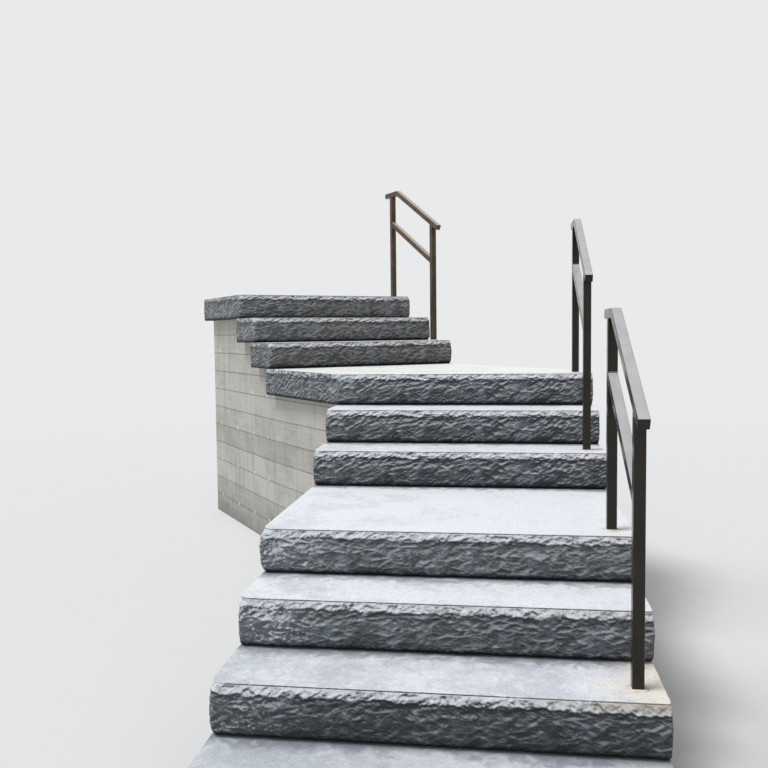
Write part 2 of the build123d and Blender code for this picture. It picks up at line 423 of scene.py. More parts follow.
@dataclass(frozen=True)
class RockFaceFinish:
    """Integrally coloured concrete cast against a rock-textured liner, then stained dark.

    To the eye it is matt blue-grey stone, an even dark grey. Light and shade are painted into
    its colour: facets that face up and thin lines along its ridges are painted paler; facets
    that face down, the valleys, a strip under the band's lip, the notch under the arris and
    the foot of the face are painted dark; and the pale ledge under the arris that looks at
    the sky is partly dust and partly painted light.
    """

    hollow: str = "#4A4D51"
    body: str = "#787D81"
    olive: str = "#6C706B"
    # Painted shade: darkens facets that face down, a strip under the band's lip and the valleys of the folds.
    under: str = "#292C2F"
    # Painted highlight: pales facets that face up and thin lines along the ridges.
    crest: str = "#B2B8C0"
    # Partly dust, partly painted light: the pale band under the arris and surfaces that face up.
    ledge_dust_and_light: str = "#DDE1E8"
    haze: str = "#7F8691"
    bloom: str = "#D8DDE6"
    veil: str = "#A3AAB4"
    # Painted near-black shade in the notch under the arris and at the foot of the face, at the foot partly damp.
    painted_black_shade: str = "#1B1D20"
    # Painted highlight: bright lines along the ridges in the band.
    ridge_highlight: str = "#F0F3F8"
    tan: str = "#BBB1A3"
    mottle: float = 90 * MM
    grain: float = 3.4 * MM
    jag_size: float = 10 * MM
    jag: float = 5 * MM
    roughness: float = 0.85

    def material(self) -> bpy.types.Material:
        """Builds the material.

        Returns:
            The finished material.
        """
        material, tree, shader = new_material("rock_face_stained_concrete")
        place = add_node(tree, "ShaderNodeTexCoord").outputs["Object"]
        smooth_face = add_node(tree, "ShaderNodeAttribute", attribute_name="face_place").outputs["Vector"]
        jag = add_node(tree, "ShaderNodeTexNoise", {
            "Vector": place, "Scale": 1 / self.jag_size, "Detail": 4.0, "Roughness": 0.7})
        face = add_node(tree, "ShaderNodeVectorMath", {
            0: add_node(tree, "ShaderNodeVectorMath", {
                0: jag.outputs["Color"], 1: (0.5, 0.5, 0.5)}, operation="SUBTRACT"),
            1: (self.jag, self.jag, 0.0), 2: smooth_face}, operation="MULTIPLY_ADD")
        relief = add_node(tree, "ShaderNodeAttribute", attribute_name="relief").outputs["Fac"]
        skyward = add_node(tree, "ShaderNodeAttribute", attribute_name="skyward").outputs["Fac"]
        past_band = add_node(tree, "ShaderNodeAttribute", attribute_name="band").outputs["Fac"]
        band = add_node(tree, "ShaderNodeMath", {0: past_band, 1: 0.0}, operation="ADD", use_clamp=True)
        drop = add_node(tree, "ShaderNodeAttribute", attribute_name="drop").outputs["Fac"]
        along = add_node(tree, "ShaderNodeAttribute", attribute_name="along").outputs["Fac"]
        hewn = add_node(tree, "ShaderNodeAttribute", attribute_name="hewn").outputs["Fac"]
        face_tone_and_light = add_node(tree, "ShaderNodeAttribute", attribute_name="face_tone_and_light").outputs["Vector"]
        bold = add_node(tree, "ShaderNodeAttribute", attribute_name="bold").outputs["Fac"]
        bloom = add_node(tree, "ShaderNodeAttribute", attribute_name="bloom").outputs["Fac"]
        tea = add_node(tree, "ShaderNodeAttribute", attribute_name="tea").outputs["Fac"]
        crisp = add_node(tree, "ShaderNodeAttribute", attribute_name="crisp").outputs["Fac"]
        mottle = add_node(tree, "ShaderNodeTexNoise", {
            "Vector": place, "Scale": 1 / self.mottle, "Detail": 4.0, "Roughness": 0.6})
        patchy = add_node(tree, "ShaderNodeTexNoise", {
            "Vector": place, "Scale": 1 / (16 * MM), "Detail": 4.0, "Roughness": 0.65})
        grain = add_node(tree, "ShaderNodeTexNoise", {
            "Vector": place, "Scale": 1 / self.grain, "Detail": 3.0, "Roughness": 0.7})
        folds, (valley_lines, back_lines) = FOLDS.folds(tree, face)
        crumple = add_node(tree, "ShaderNodeMath", {0: folds, 1: 0.6, 2: -0.4}, operation="MULTIPLY_ADD")
        for grain_set, weight in ((CHIPS, 0.58), (FLAKES, 0.50)):
            crumple = add_node(tree, "ShaderNodeMath", {
                0: grain_set.chips(tree, face), 1: weight, 2: crumple}, operation="MULTIPLY_ADD")
        slashes, (_, slash_lines) = SLASHES.folds(tree, face)
        crumple = add_node(tree, "ShaderNodeMath", {
            0: slashes, 1: add_node(tree, "ShaderNodeMath", {0: bold, 1: 0.9}, operation="MULTIPLY"),
            2: crumple}, operation="MULTIPLY_ADD")
        back_lines = add_node(tree, "ShaderNodeMath", {
            0: back_lines, 1: add_node(tree, "ShaderNodeMath", {
                0: slash_lines, 1: bold}, operation="MULTIPLY")}, operation="MAXIMUM")
        wrinkle_bump = add_node(tree, "ShaderNodeBump", {
            "Height": crumple, "Distance": 5.0 * MM, "Strength": crisp})
        tipped_up = add_node(tree, "ShaderNodeSeparateXYZ", {0: wrinkle_bump}).outputs["Z"]
        deep = add_node(tree, "ShaderNodeMapRange", {
            "Value": add_node(tree, "ShaderNodeMath", {
                0: crumple, 1: 0.55, 2: add_node(tree, "ShaderNodeMath", {
                    0: relief, 1: 0.3}, operation="MULTIPLY")}, operation="MULTIPLY_ADD"),
            "From Min": -0.16, "From Max": 0.52})
        tinted = add_node(tree, "ShaderNodeMix", {
            "Factor": add_node(tree, "ShaderNodeMapRange", {
                "Value": mottle.outputs["Fac"], "From Min": 0.40, "From Max": 0.60}),
            "A": linear(self.olive), "B": linear(self.body)}, data_type="RGBA")
        stained = add_node(tree, "ShaderNodeMix", {
            "Factor": deep, "A": linear(self.hollow), "B": tinted.outputs["Result"]},
            data_type="RGBA")
        streaks = add_node(tree, "ShaderNodeTexNoise", {
            "Vector": add_node(tree, "ShaderNodeVectorMath", {
                0: face, 1: (1 / (70 * MM), 1 / (260 * MM), 1.0)}, operation="MULTIPLY"),
            "Scale": 1.0, "Detail": 2.0})
        hazed = add_node(tree, "ShaderNodeMix", {
            "Factor": add_node(tree, "ShaderNodeMapRange", {
                "Value": streaks.outputs["Fac"], "From Min": 0.52, "From Max": 0.68, "To Max": 0.42},
                interpolation_type="SMOOTHSTEP"),
            "A": stained.outputs["Result"], "B": linear(self.haze)}, data_type="RGBA")
        # The step's own tone, partly the stain and partly painted light and shade that differ from step to step.
        shaded = add_node(tree, "ShaderNodeVectorMath", {
            0: hazed.outputs["Result"], 1: face_tone_and_light}, operation="MULTIPLY")
        # Painted shade: facets whose bumped normal faces down are darkened, less so in the band.
        down_facing_shaded = add_node(tree, "ShaderNodeMix", {
            "Factor": add_node(tree, "ShaderNodeMapRange", {
                "Value": add_node(tree, "ShaderNodeMath", {
                    0: band, 1: 0.5, 2: tipped_up}, operation="MULTIPLY_ADD"),
                "From Min": 0.0, "From Max": -0.50, "To Max": 0.62}),
            "A": shaded, "B": linear(self.under)}, data_type="RGBA")
        # Painted shadow: a strip just below the band's lip is darkened.
        lip_shadowed = add_node(tree, "ShaderNodeMix", {
            "Factor": add_node(tree, "ShaderNodeMath", {
                0: add_node(tree, "ShaderNodeMapRange", {
                    "Value": past_band, "From Min": -1.6, "From Max": -0.1, "To Max": 0.55}),
                1: add_node(tree, "ShaderNodeMapRange", {
                    "Value": past_band, "From Min": 0.14, "From Max": -0.02})}, operation="MULTIPLY"),
            "A": down_facing_shaded.outputs["Result"], "B": linear(self.under)}, data_type="RGBA")
        # Painted highlight: thin lines along the ridges, and facets whose bumped normal faces up, are paled.
        painted_ridge_lines = add_node(tree, "ShaderNodeMath", {0: back_lines, 1: 0.20}, operation="MULTIPLY")
        painted_lit_facets = add_node(tree, "ShaderNodeMapRange", {
            "Value": tipped_up, "From Min": 0.20, "From Max": 0.60, "To Max": add_node(
                tree, "ShaderNodeMath", {0: bold, 1: 0.36, 2: 0.26}, operation="MULTIPLY_ADD")},
            interpolation_type="SMOOTHSTEP")
        highlighted = add_node(tree, "ShaderNodeMix", {
            "Factor": add_node(tree, "ShaderNodeMath", {
                0: painted_ridge_lines, 1: painted_lit_facets}, operation="MAXIMUM"),
            "A": lip_shadowed.outputs["Result"], "B": linear(self.crest)}, data_type="RGBA")
        # Partly dust, partly painted light: surfaces that face up, and the band under the arris, are paled.
        sky_dust_and_light = add_node(tree, "ShaderNodeMapRange", {
            "Value": add_node(tree, "ShaderNodeMath", {
                0: add_node(tree, "ShaderNodeMath", {
                    0: band, 1: 0.22, 2: skyward}, operation="MULTIPLY_ADD"),
                1: add_node(tree, "ShaderNodeMath", {
                    0: patchy.outputs["Fac"], 1: 1.1, 2: -0.55}, operation="MULTIPLY_ADD")},
                operation="ADD"),
            "From Min": 0.10, "From Max": 0.78, "To Max": 0.97}, interpolation_type="SMOOTHSTEP")
        band_dust_and_light = add_node(tree, "ShaderNodeMapRange", {
            "Value": band, "From Min": 0.0, "From Max": 0.16, "To Min": 0.16, "To Max": 1.0},
            interpolation_type="SMOOTHSTEP")
        dusted = add_node(tree, "ShaderNodeMix", {
            "Factor": add_node(tree, "ShaderNodeMath", {
                0: sky_dust_and_light, 1: band_dust_and_light}, operation="MULTIPLY"),
            "A": highlighted.outputs["Result"], "B": linear(self.ledge_dust_and_light)}, data_type="RGBA")
        warm_end = add_node(tree, "ShaderNodeMapRange", {
            "Value": add_node(tree, "ShaderNodeMath", {
                0: patchy.outputs["Fac"], 1: 0.5, 2: along}, operation="MULTIPLY_ADD"),
            "From Min": 1.22, "From Max": 1.62, "To Max": 0.66})
        warmed = add_node(tree, "ShaderNodeMix", {
            "Factor": add_node(tree, "ShaderNodeMath", {
                0: add_node(tree, "ShaderNodeMath", {0: warm_end, 1: tea}, operation="MULTIPLY"),
                1: add_node(tree, "ShaderNodeMapRange", {
                    "Value": band, "From Min": 0.0, "From Max": 0.3})}, operation="MULTIPLY"),
            "A": dusted.outputs["Result"], "B": linear(self.tan)}, data_type="RGBA")
        # Painted highlight: bright lines along the ridges within the band.
        ridge_highlighted = add_node(tree, "ShaderNodeMix", {
            "Factor": add_node(tree, "ShaderNodeMath", {
                0: back_lines, 1: add_node(tree, "ShaderNodeMapRange", {
                    "Value": band, "From Min": 0.0, "From Max": 0.4, "To Max": 0.8})},
                operation="MULTIPLY"),
            "A": warmed.outputs["Result"], "B": linear(self.ridge_highlight)}, data_type="RGBA")
        # Painted shade: thin dark lines along the valleys of the folds.
        valleys_shaded = add_node(tree, "ShaderNodeMix", {
            "Factor": add_node(tree, "ShaderNodeMath", {
                0: valley_lines, 1: 0.46}, operation="MULTIPLY"),
            "A": ridge_highlighted.outputs["Result"], "B": linear(self.under)}, data_type="RGBA")
        near_left = add_node(tree, "ShaderNodeMath", {
            0: add_node(tree, "ShaderNodeMath", {
                0: add_node(tree, "ShaderNodeMapRange", {
                    "Value": along, "From Min": 0.38, "From Max": 0.08}, interpolation_type="SMOOTHSTEP"),
                1: add_node(tree, "ShaderNodeMapRange", {
                    "Value": along, "From Min": -0.25, "From Max": -0.05, "To Min": 0.35})},
                operation="MULTIPLY"),
            1: bloom}, operation="MULTIPLY")
        veiled = add_node(tree, "ShaderNodeMix", {
            "Factor": add_node(tree, "ShaderNodeMath", {0: near_left, 1: 0.24}, operation="MULTIPLY"),
            "A": valleys_shaded.outputs["Result"], "B": linear(self.veil)}, data_type="RGBA")
        crust = add_node(tree, "ShaderNodeMapRange", {
            "Value": add_node(tree, "ShaderNodeMath", {
                0: mottle.outputs["Fac"], 1: 0.7, 2: add_node(tree, "ShaderNodeMath", {
                    0: patchy.outputs["Fac"], 1: 1.3, 2: add_node(tree, "ShaderNodeMath", {
                        0: skyward, 1: 0.35}, operation="MULTIPLY")}, operation="MULTIPLY_ADD")},
                operation="MULTIPLY_ADD"),
            "From Min": 1.02, "From Max": 1.16, "To Max": 0.8})
        bloomed = add_node(tree, "ShaderNodeMix", {
            "Factor": add_node(tree, "ShaderNodeMath", {0: near_left, 1: crust}, operation="MULTIPLY"),
            "A": veiled.outputs["Result"], "B": linear(self.bloom)}, data_type="RGBA")
        # Painted shade: a thin, broken near-black line in the notch just under the arris, on the front.
        groove_top = add_node(tree, "ShaderNodeMapRange", {
            "Value": drop, "From Min": 1.0 * MM, "From Max": 2.4 * MM})
        groove_foot = add_node(tree, "ShaderNodeMapRange", {
            "Value": drop, "From Min": 6.4 * MM, "From Max": 3.8 * MM, "To Max": 0.75})
        broken_line = add_node(tree, "ShaderNodeMapRange", {
            "Value": patchy.outputs["Fac"], "From Min": 0.46, "From Max": 0.60, "To Max": 0.8})
        on_front = add_node(tree, "ShaderNodeMapRange", {
            "Value": hewn, "From Min": 0.80, "From Max": 1.0})
        arris_shadow = add_node(tree, "ShaderNodeMath", {
            0: add_node(tree, "ShaderNodeMath", {
                0: groove_top, 1: groove_foot}, operation="MULTIPLY"),
            1: add_node(tree, "ShaderNodeMath", {
                0: add_node(tree, "ShaderNodeMath", {0: broken_line, 1: on_front}, operation="MULTIPLY"),
                1: add_node(tree, "ShaderNodeMapRange", {
                    "Value": bold, "From Min": 0.2, "From Max": 0.5, "To Min": 1.0, "To Max": 0.4})},
                operation="MULTIPLY")}, operation="MULTIPLY")
        arris_shadowed = add_node(tree, "ShaderNodeMix", {
            "Factor": arris_shadow, "A": bloomed.outputs["Result"], "B": linear(self.painted_black_shade)},
            data_type="RGBA")
        # Painted shadow, partly damp: the face darkens to near black over its lowest few centimetres, where it tucks
        # back above the tread below.
        damp = add_node(tree, "ShaderNodeMapRange", {
            "Value": add_node(tree, "ShaderNodeMath", {
                0: drop, 1: add_node(tree, "ShaderNodeMath", {
                    0: patchy.outputs["Fac"], 1: 40 * MM, 2: -20 * MM},
                    operation="MULTIPLY_ADD")}, operation="ADD"),
            "From Min": 154 * MM, "From Max": 171 * MM, "To Max": 0.95},
            interpolation_type="SMOOTHSTEP")
        footed = add_node(tree, "ShaderNodeMix", {
            "Factor": damp, "A": arris_shadowed.outputs["Result"], "B": linear(self.painted_black_shade)},
            data_type="RGBA")
        speckle = add_node(tree, "ShaderNodeMapRange", {
            "Value": grain.outputs["Fac"], "From Min": 0.25, "From Max": 0.75,
            "To Min": 0.86, "To Max": 1.14})
        final = add_node(tree, "ShaderNodeVectorMath", {
            0: footed.outputs["Result"], "Scale": speckle}, operation="SCALE")
        grain_bump = add_node(tree, "ShaderNodeBump", {
            "Height": grain.outputs["Fac"], "Distance": 1.1 * MM, "Strength": 0.7,
            "Normal": wrinkle_bump})
        tree.links.new(final.outputs["Vector"], shader.inputs["Base Color"])
        tree.links.new(grain_bump.outputs["Normal"], shader.inputs["Normal"])
        shader.inputs["Roughness"].default_value = self.roughness
        shader.inputs["Specular IOR Level"].default_value = 0.35
        return material


@dataclass(frozen=True)
class TreadFinish:
    """Steel-trowelled concrete tread, sealed and weathered.

    To the eye it is a smooth, cool pale grey with cloudy patches, a darker strip along the
    riser behind it that is partly dirt and partly painted shade at the riser's foot, and a
    few warm tea-coloured stains. The lower treads are painted darker, partly wear and partly
    painted shade.
    """

    pale: str = "#F1F5FC"
    cloud: str = "#C3C9D2"
    # Dirt in the pits; dirt and painted shade in the strip along the riser's foot.
    dirt_and_shade: str = "#868B94"
    tea: str = "#F7EEE0"
    bleached: str = "#F8F7F4"
    cloud_size: float = 260 * MM
    trowel_size: float = 45 * MM
    grain: float = 2.4 * MM
    fleck: float = 9 * MM
    # Width of the strip along the riser's foot, partly dirt and partly painted shade.
    dirt_and_shade_strip: float = 42 * MM
    pit: float = 8 * MM
    roughness: float = 0.62

    def material(self) -> bpy.types.Material:
        """Builds the material.

        Returns:
            The finished material.
        """
        material, tree, shader = new_material("trowelled_tread_concrete")
        place = add_node(tree, "ShaderNodeTexCoord").outputs["Object"]
        tread = add_node(tree, "ShaderNodeSeparateXYZ", {0: add_node(
            tree, "ShaderNodeAttribute", attribute_name="tread_place").outputs["Vector"]})
        across, _, ahead = tread.outputs
        wear_and_shade = add_node(tree, "ShaderNodeAttribute", attribute_name="wear_and_shade").outputs["Fac"]
        tea = add_node(tree, "ShaderNodeAttribute", attribute_name="tea").outputs["Fac"]
        clouds = add_node(tree, "ShaderNodeTexNoise", {
            "Vector": place, "Scale": 1 / self.cloud_size, "Detail": 5.0, "Roughness": 0.6})
        sweeps = add_node(tree, "ShaderNodeTexNoise", {
            "Vector": place, "Scale": 1 / self.trowel_size, "Detail": 3.0, "Distortion": 0.6})
        grain = add_node(tree, "ShaderNodeTexNoise", {
            "Vector": place, "Scale": 1 / self.grain, "Detail": 2.0, "Roughness": 0.7})
        # The per-step value pales the upper treads and darkens the lower ones: partly wear, partly painted shade.
        cloudy = add_node(tree, "ShaderNodeMath", {
            0: add_node(tree, "ShaderNodeMath", {
                0: wear_and_shade, 1: add_node(tree, "ShaderNodeMapRange", {
                    "Value": add_node(tree, "ShaderNodeMath", {
                        0: clouds.outputs["Fac"], 1: add_node(tree, "ShaderNodeMath", {
                            0: sweeps.outputs["Fac"], 1: 0.6, 2: -0.3}, operation="MULTIPLY_ADD")},
                        operation="ADD"),
                    "From Min": 0.36, "From Max": 0.64, "To Min": -0.34, "To Max": 0.26})},
                operation="ADD"),
            1: add_node(tree, "ShaderNodeMapRange", {
                "Value": across, "From Min": -0.6, "From Max": 0.5, "To Min": -0.12, "To Max": 0.14})},
            operation="ADD", use_clamp=True)
        sunny = add_node(tree, "ShaderNodeMix", {
            "Factor": add_node(tree, "ShaderNodeMapRange", {
                "Value": wear_and_shade, "From Min": 1.07, "From Max": 1.15}),
            "A": linear(self.pale), "B": linear(self.bleached)}, data_type="RGBA")
        base = add_node(tree, "ShaderNodeMix", {
            "Factor": cloudy, "A": linear(self.cloud), "B": sunny.outputs["Result"]}, data_type="RGBA")
        # Partly dirt, partly painted shade: a darker strip on the tread along the foot of the riser above.
        wander = add_node(tree, "ShaderNodeMath", {
            0: add_node(tree, "ShaderNodeMath", {
                0: sweeps.outputs["Fac"], 1: clouds.outputs["Fac"]}, operation="ADD"),
            1: 0.12, 2: -0.12}, operation="MULTIPLY_ADD")
        to_riser = add_node(tree, "ShaderNodeMath", {0: ahead, 1: wander}, operation="ADD")
        strip = add_node(tree, "ShaderNodeMapRange", {
            "Value": to_riser, "From Min": 2.3 * self.dirt_and_shade_strip, "From Max": 0.0,
            "To Max": 0.9}, interpolation_type="SMOOTHSTEP")
        dirtied_and_shaded = add_node(tree, "ShaderNodeMix", {
            "Factor": strip, "A": base.outputs["Result"], "B": linear(self.dirt_and_shade)},
            data_type="RGBA")
        right_end = add_node(tree, "ShaderNodeMapRange", {
            "Value": add_node(tree, "ShaderNodeMath", {
                0: across, 1: add_node(tree, "ShaderNodeMath", {
                    0: clouds.outputs["Fac"], 1: 0.6, 2: -0.3}, operation="MULTIPLY_ADD")},
                operation="ADD"),
            "From Min": 0.50, "From Max": 0.72, "To Max": 0.80}, interpolation_type="SMOOTHSTEP")
        stained = add_node(tree, "ShaderNodeMix", {
            "Factor": add_node(tree, "ShaderNodeMath", {0: right_end, 1: tea}, operation="MULTIPLY"),
            "A": dirtied_and_shaded.outputs["Result"], "B": linear(self.tea)}, data_type="RGBA")
        spots = add_node(tree, "ShaderNodeTexVoronoi", {
            "Vector": place, "Scale": 1 / (120 * MM), "Randomness": 1.0})
        spot = add_node(tree, "ShaderNodeMapRange", {
            "Value": add_node(tree, "ShaderNodeMath", {
                0: spots.outputs["Distance"], 1: sweeps.outputs["Fac"]}, operation="ADD"),
            "From Min": 0.60, "From Max": 0.48, "To Max": 0.35}, interpolation_type="SMOOTHSTEP")
        spotted = add_node(tree, "ShaderNodeMix", {
            "Factor": spot, "A": stained.outputs["Result"], "B": linear(self.tea)},
            data_type="RGBA")
        flecks = add_node(tree, "ShaderNodeTexNoise", {
            "Vector": place, "Scale": 1 / self.fleck, "Detail": 3.0, "Roughness": 0.75})
        speckle = add_node(tree, "ShaderNodeMapRange", {
            "Value": add_node(tree, "ShaderNodeMath", {
                0: grain.outputs["Fac"], 1: 0.4, 2: flecks.outputs["Fac"]}, operation="MULTIPLY_ADD"),
            "From Min": 0.45, "From Max": 0.95, "To Min": 0.80, "To Max": 1.16})
        pits = add_node(tree, "ShaderNodeTexNoise", {
            "Vector": place, "Scale": 1 / self.pit, "Detail": 2.0, "Roughness": 0.8})
        pitted = add_node(tree, "ShaderNodeMix", {
            "Factor": add_node(tree, "ShaderNodeMapRange", {
                "Value": pits.outputs["Fac"], "From Min": 0.56, "From Max": 0.70, "To Max": add_node(
                    tree, "ShaderNodeMapRange", {
                        "Value": clouds.outputs["Fac"], "From Min": 0.60, "From Max": 0.42,
                        "To Min": 0.06, "To Max": 0.46})}),
            "A": spotted.outputs["Result"], "B": linear(self.dirt_and_shade)}, data_type="RGBA")
        final = add_node(tree, "ShaderNodeVectorMath", {
            0: pitted.outputs["Result"], "Scale": speckle}, operation="SCALE")
        trowel_bump = add_node(tree, "ShaderNodeBump", {
            "Height": sweeps.outputs["Fac"], "Distance": 1.2 * MM, "Strength": 0.5})
        grain_bump = add_node(tree, "ShaderNodeBump", {
            "Height": grain.outputs["Fac"], "Distance": 0.4 * MM, "Strength": 0.5,
            "Normal": trowel_bump})
        tree.links.new(final.outputs["Vector"], shader.inputs["Base Color"])
        tree.links.new(grain_bump.outputs["Normal"], shader.inputs["Normal"])
        shader.inputs["Roughness"].default_value = self.roughness
        return material


@dataclass(frozen=True)
class FormedConcreteFinish:
    """Plain concrete cast against board shutters.

    To the eye it is light grey, each board's course a little lighter or darker than the
    next, with drip stains from the slabs, small air holes and a damp, darker foot.
    """

    turn: float = 0.0
    grey: str = "#C2C0BA"
    shade: str = "#A5A39C"
    damp: str = "#7E7C74"
    hole: str = "#5F5D57"
    board: float = 148 * MM
    board_length: float = 2400 * MM
    hole_pitch: float = 30 * MM
    roughness: float = 0.9

    def material(self) -> bpy.types.Material:
        """Builds the material.

        Returns:
            The finished material.
        """
        material, tree, shader = new_material("board_formed_concrete")
        turned = add_node(tree, "ShaderNodeMapping", {
            "Vector": add_node(tree, "ShaderNodeTexCoord").outputs["Object"],
            "Rotation": (0.0, 0.0, -self.turn)})
        height = add_node(tree, "ShaderNodeSeparateXYZ", {0: turned}).outputs["Z"]
        course = add_node(tree, "ShaderNodeMath", {0: height, 1: self.board}, operation="DIVIDE")
        tone = add_node(tree, "ShaderNodeTexWhiteNoise", {
            "W": add_node(tree, "ShaderNodeMath", {0: course}, operation="FLOOR")},
            noise_dimensions="1D")
        from_edge = add_node(tree, "ShaderNodeMath", {
            0: add_node(tree, "ShaderNodeMath", {
                0: add_node(tree, "ShaderNodeMath", {0: course}, operation="FRACT"), 1: 0.5},
                operation="SUBTRACT")}, operation="ABSOLUTE")
        edge = add_node(tree, "ShaderNodeMapRange", {
            "Value": from_edge, "From Min": 0.475, "From Max": 0.49})
        clouds = add_node(tree, "ShaderNodeTexNoise", {
            "Vector": turned, "Scale": 1 / (280 * MM), "Detail": 6.0, "Roughness": 0.7})
        wood = add_node(tree, "ShaderNodeTexNoise", {
            "Vector": add_node(tree, "ShaderNodeVectorMath", {
                0: turned, 1: (1 / (220 * MM), 1 / (220 * MM), 1 / (5 * MM))}, operation="MULTIPLY"),
            "Scale": 1.0, "Detail": 3.0, "Distortion": 0.6})
        drips = add_node(tree, "ShaderNodeTexNoise", {
            "Vector": add_node(tree, "ShaderNodeVectorMath", {
                0: turned, 1: (1 / (55 * MM), 1 / (55 * MM), 1 / (900 * MM))}, operation="MULTIPLY"),
            "Scale": 1.0, "Detail": 4.0, "Roughness": 0.6})
        shade = add_node(tree, "ShaderNodeMath", {
            0: add_node(tree, "ShaderNodeMath", {
                0: tone.outputs["Value"], 1: 0.22, 2: clouds.outputs["Fac"]}, operation="MULTIPLY_ADD"),
            1: add_node(tree, "ShaderNodeMath", {
                0: wood.outputs["Fac"], 1: 0.5, 2: -0.36}, operation="MULTIPLY_ADD")}, operation="ADD")
        base = add_node(tree, "ShaderNodeMix", {
            "Factor": add_node(tree, "ShaderNodeMapRange", {
                "Value": shade, "From Min": 0.30, "From Max": 0.62}),
            "A": linear(self.shade), "B": linear(self.grey)}, data_type="RGBA")
        dripped = add_node(tree, "ShaderNodeMix", {
            "Factor": add_node(tree, "ShaderNodeMapRange", {
                "Value": drips.outputs["Fac"], "From Min": 0.54, "From Max": 0.70, "To Max": 0.4}),
            "A": base.outputs["Result"], "B": linear(self.damp)}, data_type="RGBA")
        damp = add_node(tree, "ShaderNodeMapRange", {
            "Value": add_node(tree, "ShaderNodeMath", {
                0: clouds.outputs["Fac"], 1: -0.7, 2: height}, operation="MULTIPLY_ADD"),
            "From Min": -0.08, "From Max": -0.34, "To Max": 0.8}, interpolation_type="SMOOTHSTEP")
        footed = add_node(tree, "ShaderNodeMix", {
            "Factor": damp, "A": dripped.outputs["Result"], "B": linear(self.damp)}, data_type="RGBA")
        holes = add_node(tree, "ShaderNodeTexVoronoi", {
            "Vector": turned, "Scale": 1 / self.hole_pitch})
        hole = add_node(tree, "ShaderNodeMapRange", {
            "Value": add_node(tree, "ShaderNodeMath", {
                0: clouds.outputs["Fac"], 1: -0.22, 2: holes.outputs["Distance"]},
                operation="MULTIPLY_ADD"),
            "From Min": -0.02, "From Max": -0.05})
        marked = add_node(tree, "ShaderNodeMix", {
            "Factor": add_node(tree, "ShaderNodeMath", {
                0: hole, 1: add_node(tree, "ShaderNodeMath", {
                    0: edge, 1: 0.55}, operation="MULTIPLY")}, operation="MAXIMUM"),
            "A": footed.outputs["Result"], "B": linear(self.hole)}, data_type="RGBA")
        pressed = add_node(tree, "ShaderNodeMath", {
            0: add_node(tree, "ShaderNodeMath", {
                0: wood.outputs["Fac"], 1: 0.5, 2: add_node(tree, "ShaderNodeMath", {
                    0: tone.outputs["Value"], 1: 0.9}, operation="MULTIPLY")},
                operation="MULTIPLY_ADD"),
            1: add_node(tree, "ShaderNodeMath", {0: edge, 1: hole}, operation="MAXIMUM")},
            operation="SUBTRACT")
        bump = add_node(tree, "ShaderNodeBump", {
            "Height": pressed, "Distance": 1.6 * MM, "Strength": 0.8})
        tree.links.new(marked.outputs["Result"], shader.inputs["Base Color"])
        tree.links.new(bump.outputs["Normal"], shader.inputs["Normal"])
        shader.inputs["Roughness"].default_value = self.roughness
        return material


@dataclass(frozen=True)
class GroutFinish:
    """Non-shrink grout smoothed round a post's foot by hand.

    To the eye it is a warm cream-grey, sandy ring with darker blotches.
    """

    sandy: str = "#EAE3D6"
    shade: str = "#D2CBBE"
    roughness: float = 0.88

    def material(self) -> bpy.types.Material:
        """Builds the material.

        Returns:
            The finished material.
        """
        material, tree, shader = new_material("sandy_cement_grout")
        place = add_node(tree, "ShaderNodeTexCoord").outputs["Object"]
        blotch = add_node(tree, "ShaderNodeTexNoise", {
            "Vector": place, "Scale": 1 / (22 * MM), "Detail": 4.0})
        sand = add_node(tree, "ShaderNodeTexNoise", {
            "Vector": place, "Scale": 1 / (1.4 * MM), "Detail": 2.0})
        colour = add_node(tree, "ShaderNodeMix", {
            "Factor": add_node(tree, "ShaderNodeMapRange", {
                "Value": blotch.outputs["Fac"], "From Min": 0.35, "From Max": 0.6}),
            "A": linear(self.shade), "B": linear(self.sandy)}, data_type="RGBA")
        bump = add_node(tree, "ShaderNodeBump", {
            "Height": sand.outputs["Fac"], "Distance": 0.6 * MM, "Strength": 0.8})
        tree.links.new(colour.outputs["Result"], shader.inputs["Base Color"])
        tree.links.new(bump.outputs["Normal"], shader.inputs["Normal"])
        shader.inputs["Roughness"].default_value = self.roughness
        return material


